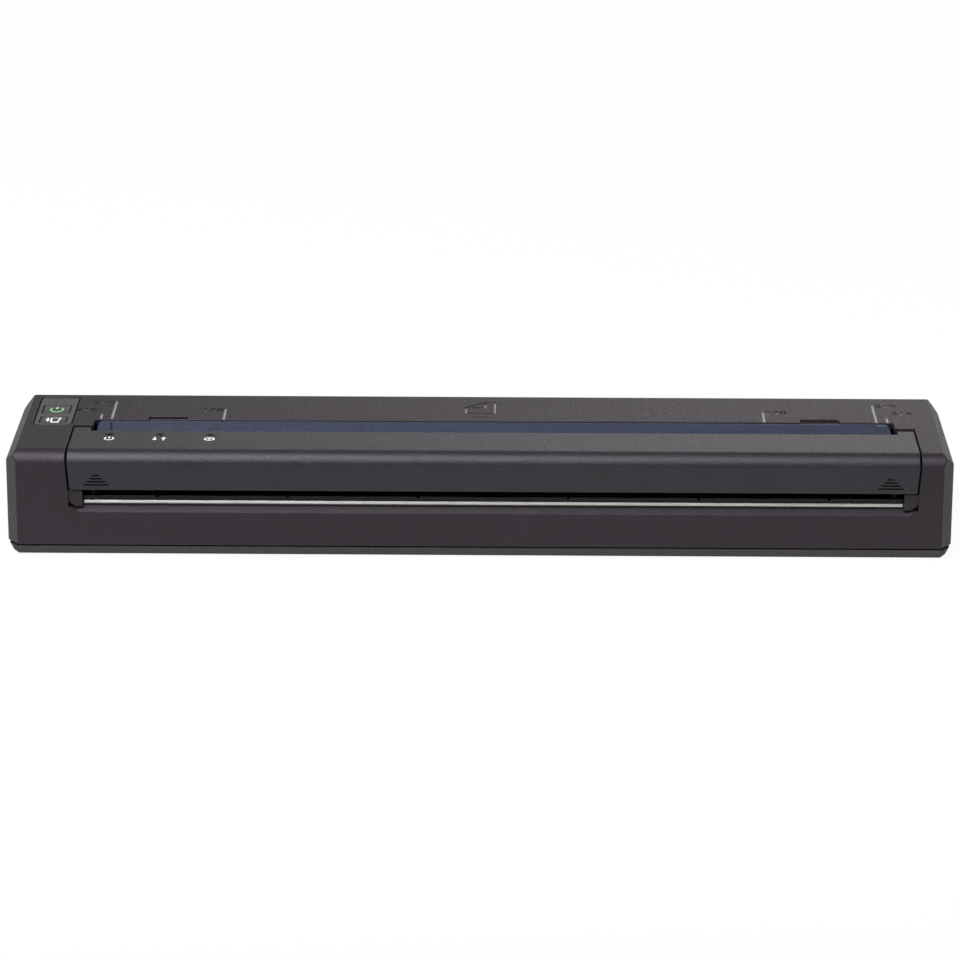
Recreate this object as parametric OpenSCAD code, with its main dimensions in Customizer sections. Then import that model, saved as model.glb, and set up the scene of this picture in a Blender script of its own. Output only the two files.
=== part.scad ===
// Slim portable thermal printer for A4 sheets. X runs left to right, Y front to back, Z up.
// The origin is at the middle of the underside. A sheet goes in at the top, behind the
// release cover, passes between the print head and the platen roller, and comes out in front.

/* [Body] */
// Width of the casing's left end, beside the cover, which holds the keys
left_end = 16.7; // [16:0.1:20]
// Width of the casing's right end, beside the cover
right_end = 9.3; // [9:0.1:14]
// Overall depth
body_d = 55; // [55:0.5:62]
// Overall height on its feet
body_h = 30; // [30:0.1:33]
// Thickness of the casing's walls
wall = 2; // [1.6:0.1:2.2]
// Height of the seam between base tray and casing
seam_z = 3.8; // [3.4:0.1:4.2]
// Width of the dark seam between base tray and casing
seam_gap = 0.4; // [0.2:0.1:0.6]
// How far the base tray leans in at the bottom
base_inset = 2.9; // [2:0.1:3.2]
// Thickness of the base tray's floor
floor_t = 1.8; // [1.5:0.1:2]
// Radius along the front top edge
front_r = 3.8; // [2.5:0.1:4.2]
// Radius along the rear top edge
rear_r = 3.4; // [2.5:0.1:4.2]
// Width of the bevel along the top of each end
end_bevel_x = 2.9; // [1.5:0.1:3.2]
// Height of the bevel along the top of each end
end_bevel_z = 3.3; // [1.5:0.1:3.6]
// Width of the upright bevel on each front corner
corner_x = 3; // [1.5:0.1:3.5]
// Depth of the upright bevel on each front corner
corner_y = 4; // [2:0.1:4.5]
// Radius of the upright rear corners
rear_corner_r = 7; // [4:0.5:8]

/* [Paper path] */
// Clear width between the side plates, for the widest sheet
path_w = 217.6; // [216.6:0.2:218.2]
// Distance from the front face to the front edge of the rear casing
slot_in = 29.9; // [29.4:0.1:30.4]
// Distance of the exit slot's lower lip under the top, on the front face
lip_drop = 16.9; // [16.4:0.1:17.4]
// Radius of the lip's lower corners
lip_r = 3.5; // [2.5:0.1:4]
// Depth of the lip's bevel
lip_depth = 1.8; // [1:0.1:1.9]
// Height of the lip's bevel
lip_rise = 1.35; // [0.8:0.05:1.5]
// Thickness of the paper guides
guide_t = 1.4; // [1.2:0.1:1.6]

/* [Release cover] */
// How far the cover reaches past the paper path at each end
cover_end = 5.7; // [5.4:0.1:5.9]
// Depth of the cover from front to back
cover_d = 19.5; // [19.2:0.1:19.7]
// Height of the cover's front, from its lower edge to the top
cover_h = 10.7; // [10.3:0.1:11]
// Thickness of the cover's shell
cover_t = 1.8; // [1.4:0.1:1.8]
// How much narrower each end is at the lower edge
cover_lean = 0.6; // [0:0.1:0.8]
// Gap round the cover
cover_gap = 0.4; // [0.3:0.05:0.45]
// Gap behind the tabs, where they dip as the cover opens
tab_gap = 2.3; // [1.8:0.1:2.6]
// Width of the tab over each hinge
tab_w = 4.6; // [4:0.1:4.8]
// How far the tabs reach behind the cover's rear edge
tab_d = 2.9; // [2:0.1:3]
// Thickness of the tabs, thin enough to clear the idler as they dip
tab_t = 1; // [0.8:0.1:1.1]
// Depth of the hinge axis under the top
hinge_drop = 3.5; // [3.2:0.1:3.8]
// Radius of the hinge pins
hinge_r = 1; // [0.8:0.05:1.1]
// Opening angle shown, 0 is shut
cover_open = 0; // [0:1:35]

/* [Platen roller] */
// Distance of the roller's axis behind the front face
platen_in = 14; // [13.8:0.1:14.3]
// Depth of the roller's axis under the top
platen_drop = 10.5; // [10.3:0.1:10.9]
// Radius of the rubber
platen_r = 5; // [4.6:0.1:5.1]
// Radius of the steel core under the rubber
core_r = 3; // [2.5:0.1:3.5]
// Radius of the shaft's journals
journal_r = 1.5; // [1.2:0.1:1.6]
// Outer radius of the bushes
bush_r = 2.5; // [2.3:0.1:2.8]

/* [Print head] */
// Slope of the head's face
head_slope = 40; // [36:1:44]
// Gap between roller and head, for the sheet
nip_gap = 0.15; // [0.1:0.05:0.25]
// Thickness of the ceramic plate
substrate_t = 1; // [0.8:0.1:1.2]
// Width of the ceramic plate across the paper path
substrate_w = 8; // [7:0.5:9]
// Thickness of the head's aluminium plate
sink_t = 3; // [2.5:0.1:3.2]
// Length of the pressed head springs
spring_l = 4; // [3.5:0.1:4.2]
// Outer radius of the head springs
spring_r = 2; // [1.6:0.1:2.2]
// Radius of the spring wire
spring_wire = 0.3; // [0.25:0.05:0.35]
// Number of head springs
spring_count = 5; // [3:1:7]

/* [Drive] */
// Module of the gears
gear_m = 0.5; // [0.48:0.01:0.52]
// Teeth on the platen gear
platen_teeth = 24; // [23:1:25]
// Teeth on the idler
idler_teeth = 26; // [25:1:27]
// Teeth on the small wheel of the reduction gear
small_teeth = 14; // [13:1:15]
// Teeth on the large wheel of the reduction gear
large_teeth = 30; // [29:1:31]
// Teeth on the motor's pinion
pinion_teeth = 12; // [12:1:13]
// Width of each gear
gear_w = 2; // [1.6:0.1:2.1]
// How much each tooth is thinned for free running
backlash = 0.1; // [0.08:0.01:0.14]
// Radius of the gears' fixed axles
axle_r = 1; // [0.8:0.05:1.2]
// Radius of the motor's can
motor_r = 7.5; // [7:0.1:7.8]
// Length of the motor's can
motor_l = 14; // [10:1:18]
// Thickness of the chassis and bracket sheet
sheet_t = 1.2; // [1:0.1:1.3]

/* [Battery] */
// Room left of the battery pack for the drive, from the paper path's left edge
drive_room = 49.1; // [45:0.1:70]
// Room right of the battery pack for the sockets
socket_room = 33.5; // [32:0.1:50]
// Depth and height of the battery pack
battery_s = 17; // [15:0.1:17.2]
// Radius of the battery door's hinge knuckle
knuckle_r = 1.1; // [1:0.05:1.2]

/* [Keys] */
// Width of the key panel
panel_w = 10.9; // [10.5:0.1:11]
// Length of the key panel
panel_l = 25.3; // [24:0.1:27]
// Distance of the key panel from the rear face
panel_in = 5.1; // [4.8:0.1:6]
// Side of the power key
power_s = 7; // [6.5:0.1:7.5]
// Depth of the feed key
feed_d = 5.5; // [5:0.1:6]
// Travel of the keys
key_travel = 0.5; // [0.3:0.05:0.6]
// Gap round each key
key_gap = 0.15; // [0.1:0.05:0.2]
// Rise of the keys' crowned tops
key_crown = 0.4; // [0.1:0.05:0.5]

/* [Feet and ports] */
// How far the rubber feet stand below the base
foot_proud = 0.3; // [0.2:0.05:0.6]
// Radius of the feet
foot_r = 4; // [3:0.1:5]
// Radius of the DC socket's hole
dc_r = 2.8; // [2.5:0.1:3]

/* [Hidden] */

$fn = 48;
over = 1;                                  // how far a cutter runs past what it cuts
slack = 0.05;                              // running clearance of a pin in its hole
free = 0.3;                                // gap between parts that pass each other
z0 = foot_proud;                           // underside of the base tray
floor_z = z0 + floor_t;                    // top of the base tray's floor
body_w = left_end + right_end + path_w + 2 * cover_end;
front_y = -body_d / 2;
rear_y = body_d / 2;
paper_x = (left_end - right_end) / 2;      // middle of the paper path
slot_y = front_y + slot_in;
lip_z = body_h - lip_drop;
cover_rear = front_y + cover_d;
cover_low = body_h - cover_h;
top_in = body_h - wall;                    // underside of the casing's top
hinge_y = cover_rear;
hinge_z = body_h - hinge_drop;
platen_y = front_y + platen_in;
platen_z = body_h - platen_drop;
path_l = paper_x - path_w / 2;             // inner face of the left side plate
path_r = paper_x + path_w / 2;
cover_l = path_l - cover_end;
cover_r = path_r + cover_end;
cover_cx = (cover_l + cover_r) / 2;
cover_half = (cover_r - cover_l) / 2;

// Places that follow the head's slope: u runs up along the head's face, v away from the roller
function head_u(v, z) = (z - platen_z + v * cos(head_slope)) / sin(head_slope);
function head_pt(u, v) = [platen_y + u * cos(head_slope) + v * sin(head_slope),
                          platen_z + u * sin(head_slope) - v * cos(head_slope)];
face_v = platen_r + nip_gap;
sink_v = face_v + substrate_t;
spring_v = sink_v + sink_t;
wall_v = spring_v + spring_l;

// Gear train: radii, centres and turns that put the wheels in mesh
platen_gear_r = gear_m * platen_teeth / 2;
idler_r = gear_m * idler_teeth / 2;
small_r = gear_m * small_teeth / 2;
large_r = gear_m * large_teeth / 2;
pinion_r = gear_m * pinion_teeth / 2;
hinge_dist = norm([hinge_y - platen_y, hinge_z - platen_z]);
// The idler lies where the platen gear leaves it square to the teeth as the cover opens
idler_dir = atan2(hinge_z - platen_z, hinge_y - platen_y) - acos(platen_gear_r / hinge_dist);
function polar(r, a) = [r * cos(a), r * sin(a)];
function mesh_turn(dir, teeth, other_teeth, other_turn) =
    dir + 180 + 180 / teeth - other_teeth / teeth * (other_turn - dir);
platen_c = [platen_y, platen_z];
idler_c = platen_c + polar(platen_gear_r + idler_r, idler_dir);
// The reduction gear hangs low in the room between the tray's floor and the idler
low_z = floor_z + large_r + gear_m + free;
reduction_fall = 0.76;                     // share of the drop from the idler to that height
reduction_dir = asin(reduction_fall * (low_z - idler_c[1]) / (idler_r + small_r));
reduction_c = idler_c + polar(idler_r + small_r, reduction_dir);
// The motor lies just over the tray's floor
motor_dir = asin((floor_z + motor_r + 1.9 - reduction_c[1]) / (large_r + pinion_r));
motor_c = reduction_c + polar(large_r + pinion_r, motor_dir);
idler_turn = mesh_turn(idler_dir, idler_teeth, platen_teeth, idler_dir);
small_turn = mesh_turn(reduction_dir, small_teeth, idler_teeth, idler_turn);
pinion_turn = mesh_turn(motor_dir, pinion_teeth, large_teeth, 0);
plate_l = path_l - sheet_t;                // outer face of the left side plate
plate_top = body_h - 5.6;                  // top of the side plates
near_x = plate_l - free - gear_w;          // wheels next to the side plate
far_x = near_x - free - gear_w;            // wheels outside those

chassis_z = floor_z + 0.9;                 // underside of the chassis
chassis_front = platen_y - 7.5;

// Exit slot
mouth_half = cover_half - cover_lean + cover_gap;
slot_half = path_w / 2 + 1.7;              // half of the exit aperture's width
lip_top = lip_z + lip_rise;
slot_side = 0.7;                           // gap beside the input slot's guide
notch_w = 10.6;                            // finger notches behind the input slot
notch_h = 1.1;
bar_y = front_y + wall + 0.5;              // front face of the tear bar
bar_t = 0.6;
bar_foot = lip_top - 3;
bar_top = lip_top + 1.25;
exit_y = bar_y + bar_t;                    // front face of the exit guide
exit_z = bar_top + 1.2;                    // top of the exit guide

// Battery bay, right of the motor, under the main board
battery_x = path_l + drive_room;
battery_l = body_w / 2 - socket_room - battery_x;
battery_y = rear_y - wall - 3.5 - battery_s;
battery_z = z0 + 2 * knuckle_r + 0.3;
rib_t = 1;
bay_rib_z = 8;                             // top of the ribs round the battery bay
board_t = 1.2;
board_z = battery_z + battery_s + 2.4;     // underside of the main board
board_l = battery_x - 45;
board_r = body_w / 2 - 9.5;
board_y = battery_y + 1.5;
board_d = rear_y - wall - 0.8 - board_y;
door_margin = 0.6;                         // the door reaches past the pack by this much
door_y = battery_y - door_margin;
door_l = battery_x - door_margin;
door_w = battery_l + 2 * door_margin;
door_hinge = [battery_y + battery_s - 0.5, z0 + knuckle_r];
door_gap = 0.25;
door_t = 1.6;

// Keys, at the left end
panel_x = -body_w / 2 + 4.9;
panel_y = rear_y - panel_in - panel_l;
panel_t = 1.4;
panel_r = 1.2;                             // radius of the panel's rear corners
panel_front_r = 2.2;
panel_top = body_h - 0.2;
key_cx = panel_x + panel_w / 2 - 0.1;
power_y = panel_y + 14.3;
feed_y = panel_y + 4.95;
key_posts = [(power_y - power_s / 2 + feed_y + feed_d / 2) / 2, power_y + power_s / 2 + 1.8];
key_board_z = body_h - 6.4;
key_board_t = 1;
switch_h = 2.2;

// Ports, at the right end, hung under the main board
usb = [9.2, 7.7, 3.9];
usb_y = rear_y - 24.7;
dc = [12, 9, 8.6];
dc_y = usb_y + usb[1] + 1.4;
port_x = body_w / 2 - 0.6;                 // the sockets' front faces

screw_spots = [[-body_w / 2 + 6.5, front_y + 12.5], [body_w / 2 - 6.5, front_y + 12.5],
               [-body_w / 2 + 8.5, rear_y - 7.3], [battery_x + battery_l + 8, rear_y - 7.3],
               [battery_x - 14, rear_y - 7.3]];
foot_spots = [for (sx = [-1, 1], sy = [-1, 1]) [sx * (body_w / 2 - 19), sy * (rear_y - 9.5)]];
tongue_z = seam_z + 2.2;                   // top of the tongue inside the casing
boss_r = 2.2;
screw_r = 1.1;

// ---- Shared shapes ----

// An outline in Y and Z, drawn out along X from x by len
module along_x(x, len) {
    translate([x, 0, 0]) rotate([90, 0, 90]) linear_extrude(height = len) children();
}

// An outline in X and Z, drawn out along Y from y by len
module along_y(y, len) {
    translate([0, y + len, 0]) rotate([90, 0, 0]) linear_extrude(height = len) children();
}

// What lies outside a radius, for a corner at the origin of a shape towards -x and -y
module corner_waste(r) {
    translate([-r, -r]) difference() {
        square(r + over);
        circle(r);
    }
}

// The body's outline from the side, drawn in by t
module side_outline(t) {
    y = rear_y - t;
    top = body_h - t;
    difference() {
        polygon([[-y, seam_z], [-y, top], [y, top], [y, seam_z],
                 [y - base_inset, z0], [-y + base_inset, z0]]);
        translate([-y, top]) mirror([1, 0]) corner_waste(front_r - t);
        translate([y, top]) corner_waste(rear_r - t);
    }
}

// The body's outline from the front, drawn in by t
module front_outline(t) {
    x = body_w / 2 - t;
    top = body_h - t;
    polygon([[-x, seam_z], [-x, top - end_bevel_z], [-x + end_bevel_x, top],
             [x - end_bevel_x, top], [x, top - end_bevel_z], [x, seam_z],
             [x - base_inset, z0], [-x + base_inset, z0]]);
}

// The body's outline from above, drawn in by t
module plan_outline(t) {
    x = body_w / 2 - t;
    y = rear_y - t;
    difference() {
        polygon([[-x, y], [-x, -y + corner_y], [-x + corner_x, -y],
                 [x - corner_x, -y], [x, -y + corner_y], [x, y]]);
        translate([x, y]) corner_waste(max(rear_corner_r - t, 0.5));
        translate([-x, y]) mirror([1, 0]) corner_waste(max(rear_corner_r - t, 0.5));
    }
}

// The whole body's form between two heights, drawn in by t
module body_form(t, low, high) {
    intersection() {
        along_x(-body_w / 2, body_w) side_outline(t);
        along_y(-body_d / 2, body_d) front_outline(t);
        translate([0, 0, low]) linear_extrude(height = high - low) plan_outline(t);
    }
}

// Plan of the release cover from above, grown by g: a band with a tab over each hinge
module cover_plan(g, rear_g) {
    translate([cover_l - g, front_y - over])
        square([cover_r - cover_l + 2 * g, cover_rear + g - front_y + over]);
    for (x = [cover_l, cover_r - tab_w])
        translate([x - g, cover_rear - over]) square([tab_w + 2 * g, tab_d + over + rear_g]);
}

// Front view of the cover's ends, which lean in towards the lower edge, grown by g
module cover_front(g, low) {
    lean_z = body_h - front_r;
    polygon([[cover_l - g, body_h + over], [cover_r + g, body_h + over],
             [cover_r + g, lean_z], [cover_r - cover_lean + g, cover_low],
             [cover_r - cover_lean + g, low], [cover_l + cover_lean - g, low],
             [cover_l + cover_lean - g, cover_low], [cover_l - g, lean_z]]);
}

// Front view of the mouth: an open-topped outline with round lower corners
module mouth_outline(low, r) {
    left = cover_cx - mouth_half;
    right = cover_cx + mouth_half;
    polygon(concat([[right, cover_low + over], [left, cover_low + over]],
        [for (a = [180:10:270]) [left + r + r * cos(a), low + r + r * sin(a)]],
        [for (a = [270:10:360]) [right - r + r * cos(a), low + r + r * sin(a)]]));
}

// Cutter for the mouth, with the bevel along its lower lip
module mouth_cut() {
    slope = lip_rise / lip_depth;
    start = front_y - 0.4;
    hull() {
        along_y(start, 0.01) mouth_outline(lip_z - 0.4 * slope, lip_r);
        along_y(front_y + lip_depth, 0.01) mouth_outline(lip_top, lip_r - lip_rise / 2);
    }
    along_y(front_y + lip_depth, wall) mouth_outline(lip_top, lip_r - lip_rise / 2);
}

// Angle by which an involute from the base circle has turned at radius r
function involute(r, base) = r <= base ? 0 : tan(acos(base / r)) * 180 / PI - acos(base / r);

// A toothed wheel's outline with a tooth centred on angle turn
module gear_outline(teeth, turn) {
    pressure = 20;
    pitch = gear_m * teeth / 2;
    base = pitch * cos(pressure);
    root = pitch - 1.25 * gear_m;
    tip = pitch + 0.9 * gear_m;
    half = 90 / teeth - backlash / pitch * 180 / PI + involute(pitch, base);
    low = max(base, root);
    radii = [root, low + 0.02, (low + pitch) / 2, pitch, (pitch + tip) / 2, tip];
    polygon([for (i = [0:teeth - 1]) each concat(
        [for (k = [0:5]) polar(radii[k], turn + i * 360 / teeth - half + involute(radii[k], base))],
        [for (k = [5:-1:0]) polar(radii[k], turn + i * 360 / teeth + half - involute(radii[k], base))])]);
}

// A wheel with a bore, between x and x + w
module gear(teeth, turn, centre, x, w, bore) {
    along_x(x, w) translate(centre) difference() {
        gear_outline(teeth, turn);
        circle(bore);
    }
}

// A round bar along X
module rod(centre, x, len, r) {
    along_x(x, len) translate(centre) circle(r);
}

// A box with rounded upright edges, front_r at its front corners
module round_box(size, r, front_r) {
    linear_extrude(height = size[2]) difference() {
        square([size[0], size[1]]);
        translate([size[0], size[1]]) corner_waste(r);
        translate([0, size[1]]) mirror([1, 0]) corner_waste(r);
        translate([size[0], 0]) mirror([0, 1]) corner_waste(front_r);
        rotate(180) corner_waste(front_r);
    }
}

// ---- Casing ----

module base_tray() color("#444146") {
    rim = base_inset + 1.4;
    top = seam_z - seam_gap;
    difference() {
        union() {
            difference() {
                body_form(0, z0, top);
                translate([0, 0, floor_z]) linear_extrude(height = body_h)
                    plan_outline(rim);
            }
            // Tongue that stands up inside the casing's wall
            translate([0, 0, floor_z - 0.5]) linear_extrude(height = tongue_z - floor_z + 0.5)
                difference() {
                    plan_outline(wall + free / 2);
                    plan_outline(rim);
                }
            for (p = screw_spots) translate([p[0], p[1], z0]) cylinder(h = 4, r = boss_r + 0.6);
            // Pads that carry the battery door's hinge
            for (x = [door_l - 4, door_l + door_w])
                translate([x, door_hinge[0] - 2.5, z0]) cube([4, 4, 2 * knuckle_r + 0.9]);
            // Ribs that part the battery from what is in front of it and beside it
            translate([door_l - rib_t, door_y - rib_t, z0])
                cube([door_w + 2 * rib_t, rib_t, bay_rib_z - z0]);
            for (x = [door_l - rib_t, door_l + door_w])
                translate([x, door_y - rib_t, z0]) cube([rib_t, battery_s - 3, bay_rib_z - z0]);
            // Ledges under the chassis
            for (x = [path_l + 20:45:path_r - 15]) translate([x, platen_y - 7, z0])
                cube([3, 8, chassis_z - z0]);
        }
        // Opening for the battery
        translate([door_l, door_y, z0 - over])
            cube([door_w, door_hinge[0] + knuckle_r + door_gap - door_y, floor_t + 2 * over]);
        // Bearings of the door's hinge
        rod(door_hinge, door_l - 2.2, door_w + 4.4, 0.6 + slack);
        for (p = screw_spots) translate([p[0], p[1], z0 - over]) {
            cylinder(h = over + 1.4, r = 2.2);
            cylinder(h = 8, r = screw_r + 0.2);
        }
        for (p = foot_spots) translate([p[0], p[1], z0 - over])
            cylinder(h = over + 0.8, r = foot_r + slack);
    }
}

// Inner ribs of the casing that hold the cover's hinge pins
module hinge_ribs() {
    for (x = [cover_l - cover_gap - 1.8, cover_r + cover_gap])
        along_x(x, 1.8) difference() {
            translate([hinge_y - 3.2, hinge_z - 3.2]) square([6.4, 3.2 + hinge_drop - wall / 2]);
            translate([hinge_y, hinge_z]) circle(hinge_r);
        }
}

module top_casing() color("#4b4646") {
    difference() {
        union() {
            difference() {
                body_form(0, seam_z, body_h);
                body_form(wall, seam_z - over, top_in);
                // Space of the release cover, and of the input slot behind it
                translate([0, 0, lip_top]) intersection() {
                    linear_extrude(height = body_h) cover_plan(cover_gap, tab_gap);
                    translate([0, 0, -lip_top]) along_y(front_y - over, body_d)
                        cover_front(cover_gap, 0);
                }
                translate([path_l - slot_side, cover_rear - 2, top_in - over])
                    cube([path_w + 2 * slot_side, slot_y - cover_rear + 2, wall + 2 * over]);
                mouth_cut();
                // Shallow finger notches in the slot's rear edge
                for (side = [-1, 1])
                    translate([paper_x + side * (path_w / 2 - 19.3) - notch_w / 2, slot_y - over,
                               body_h - notch_h])
                        cube([notch_w, over + 2.8, 2]);
                translate([panel_x, panel_y, panel_top - panel_t])
                    round_box([panel_w, panel_l, 4], panel_r, panel_front_r);
                translate([panel_x + 1.2, panel_y + 1.2, top_in - over])
                    cube([panel_w - 2.4, panel_l - 2.4, 4]);
                // Holes for the USB and DC sockets
                translate([port_x - wall - over, usb_y - 0.3, board_z - usb[2] - 0.3])
                    cube([wall + 3, usb[1] + 0.6, usb[2] + 0.6]);
                translate([body_w / 2 - wall - over, dc_y + dc[1] / 2, board_z - dc[2] / 2])
                    rotate([0, 90, 0]) cylinder(h = wall + 3, r = dc_r + 1.2);
            }
            intersection() {
                hinge_ribs();
                body_form(0, seam_z, body_h);
            }
            // Screw bosses, from the roof down to the base tray's
            intersection() {
                body_form(wall / 2, seam_z, body_h);
                for (p = screw_spots) translate([p[0], p[1], z0 + 4.2]) difference() {
                    cylinder(h = top_in - z0 - 3.9, r = boss_r);
                    translate([0, 0, -over]) cylinder(h = 9, r = screw_r - 0.25);
                }
            }
            // Posts under the roof for the main board
            for (x = [board_l + 8, paper_x, board_r - 12])
                translate([x, board_y + board_d - 3, board_z + board_t])
                    cylinder(h = top_in + wall / 2 - board_z - board_t, r = 1.6);
        }
        rod([hinge_y, hinge_z], cover_l - cover_gap - 1.8, 1.9, hinge_r);
        rod([hinge_y, hinge_z], cover_r + cover_gap - 0.1, 1.9, hinge_r);
    }
}

// ---- Release cover and what it carries ----

module cover_turn() {
    translate([0, hinge_y, hinge_z]) rotate([-cover_open, 0, 0])
        translate([0, -hinge_y, -hinge_z]) children();
}

// End flange of the cover, with the bore of its hinge
module cover_flange(x, w) {
    along_x(x, w) difference() {
        union() {
            difference() {
                intersection() {
                    side_outline(cover_t / 2);
                    translate([front_y, cover_low]) square([cover_rear - front_y, body_h]);
                }
                translate([front_y + 5, cover_low - over])
                    square([cover_rear - front_y, hinge_z - 3 - cover_low + over]);
            }
            translate([hinge_y, hinge_z]) circle(2.6);
        }
        translate([hinge_y, hinge_z]) circle(hinge_r + slack);
    }
}

module release_cover() color("#5a585b") cover_turn() {
    difference() {
        union() {
            difference() {
                body_form(0, cover_low, body_h);
                // The cavity, which leaves a lip under the rear edge to guide the sheet into the slot
                difference() {
                    body_form(cover_t, cover_low - over, body_h - cover_t);
                    translate([path_l + free, cover_rear - 1.2, body_h - cover_t - 2.4])
                        cube([path_w - 2 * free, 1, 2.4 + cover_t / 2]);
                }
                // Everything behind the cover's rear edge and its tabs
                difference() {
                    translate([-body_w, front_y - over, 0]) cube([2 * body_w, 2 * body_d, 2 * body_h]);
                    linear_extrude(height = 2 * body_h) cover_plan(0, 0);
                }
            }
            cover_flange(cover_l, 1.5);
            cover_flange(cover_r - 1.5, 1.5);
            // Bosses that carry the roller's bracket
            for (x = bracket_spots) translate([x, platen_y, bracket_top])
                cylinder(h = body_h - cover_t / 2 - bracket_top, r = 2.2);
            // Ribs across the front, down to the lower edge
            for (x = [path_l + 30:35:path_r - 20])
                along_x(x, 1) intersection() {
                    side_outline(cover_t / 2);
                    translate([front_y, cover_low + 1.2]) square([4.4, body_h]);
                }
        }
        // The ends lean in towards the lower edge
        along_y(front_y - over, body_d) difference() {
            translate([-body_w, 0]) square([2 * body_w, 2 * body_h]);
            cover_front(0, 0);
        }
        // Room for the idler under the tabs
        translate([cover_l + 1.5, cover_rear, platen_z])
            cube([cover_r - cover_l - 3, tab_d + over, body_h - tab_t - platen_z]);
        for (x = bracket_spots) translate([x, platen_y, bracket_top - over])
            cylinder(h = over + 1, r = screw_r - 0.25);
        for (i = [0:2]) translate([window_x(i), window_y, body_h / 2]) cylinder(h = body_h, r = window_r);
    }
}

bracket_top = body_h - cover_t - 0.6;
bracket_spots = [for (i = [0:3]) path_l + 46.8 + i * (path_w - 55.6) / 3];
window_r = 0.65;
window_y = cover_rear - 3.6;
function window_x(i) = path_l + 4.7 + 13.6 * i;

// Ear of the bracket, with the bore of a bush
module bracket_ear(x) {
    along_x(x, sheet_t) difference() {
        union() {
            translate(platen_c) circle(bush_r + 1.6);
            translate([platen_y - bush_r - 1.6, platen_z])
                square([2 * bush_r + 3.2, bracket_top - platen_z]);
        }
        translate(platen_c) circle(bush_r);
    }
}

module roller_bracket() color("#b9bbbd") cover_turn() {
    bracket_ear(plate_l);
    bracket_ear(path_r);
    difference() {
        translate([plate_l, platen_y - 4.5, bracket_top - 1])
            cube([path_w + 2 * sheet_t, cover_rear - 1.4 - platen_y + 4.5, 1]);
        for (x = bracket_spots) translate([x, platen_y, 0]) cylinder(h = body_h, r = screw_r + slack);
        translate([window_x(0) - 2, window_y - 1.4, bracket_top - 2])
            cube([window_x(2) - window_x(0) + 4, 2.8, 4]);
    }
}

// A self-tapping screw with its head at the origin, pointing up
module screw(head_r, head_h, r, len) {
    difference() {
        cylinder(h = head_h, r = head_r);
        translate([0, 0, -0.01]) linear_extrude(height = head_h * 0.6) {
            square([head_r * 1.2, 0.35], center = true);
            square([0.35, head_r * 1.2], center = true);
        }
    }
    translate([0, 0, head_h]) cylinder(h = len, r = r);
}

module bracket_screws() color("silver") cover_turn() {
    for (x = bracket_spots) translate([x, platen_y, bracket_top - 1.8]) screw(1.9, 0.8, screw_r - 0.3, 1.9);
}

module light_windows() color("#2a2f2c") cover_turn() {
    for (i = [0:2]) translate([window_x(i), window_y, 0]) {
        translate([0, 0, bracket_top - 0.6]) cylinder(h = body_h - 0.05 - bracket_top + 0.6, r = window_r);
        translate([0, 0, bracket_top - 0.6]) cylinder(h = 1, r = 1.1);
    }
}

module indicator_board() color("#2f6b45") cover_turn() {
    z = bracket_top - 1 - 0.8;
    translate([window_x(0) - 4, window_y - 2.2, z])
        cube([window_x(2) - window_x(0) + 8, 4.4, 0.8]);
    for (i = [0:2]) translate([window_x(i) - 0.8, window_y - 0.5, z + 0.8]) cube([1.6, 1, 0.4]);
}

module platen_shaft() color("#c9cacc") cover_turn() {
    rod(platen_c, path_l + 0.4, path_w - 0.8, core_r);
    rod(platen_c, near_x - 0.4, path_l + 0.5 - near_x + 0.4, journal_r);
    rod(platen_c, path_r - 0.5, sheet_t + 2, journal_r);
}

module platen_rubber() color("#27272a") cover_turn() {
    along_x(path_l + 0.6, path_w - 1.2) translate(platen_c) difference() {
        circle(platen_r);
        circle(core_r);
    }
}

module platen_bushes() color("#d8d2c0") cover_turn() {
    for (x = [plate_l, path_r]) along_x(x, sheet_t) translate(platen_c) difference() {
        circle(bush_r);
        circle(journal_r + slack);
    }
}

module platen_gear() color("#e5e0d2") cover_turn() {
    gear(platen_teeth, idler_dir, platen_c, near_x, gear_w, journal_r);
}

module hinge_pins() color("silver") {
    rod([hinge_y, hinge_z], cover_l - cover_gap - 1.8, cover_gap + 3.2, hinge_r);
    rod([hinge_y, hinge_z], cover_r - 1.4, cover_gap + 3.2, hinge_r);
}

// ---- Paper path ----

// Top and bottom of the blue guide's slope, the way up it and the way through it
guide_top = [slot_y - 1.1, body_h - 0.3];
guide_low = head_pt(9.6, 3.4);
guide_run = (guide_top - guide_low) / norm(guide_top - guide_low);
guide_in = guide_t * [guide_run[1], -guide_run[0]];
rim_w = 0.75;
guide_r = 1.6;
sheets = [148.5, 210];                     // widths of the sheets that have a groove
guide_step = 1.2;
guide_end = (path_w - sheets[1]) / 2 - 0.1; // length of the step outside an A4 sheet's edge

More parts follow.
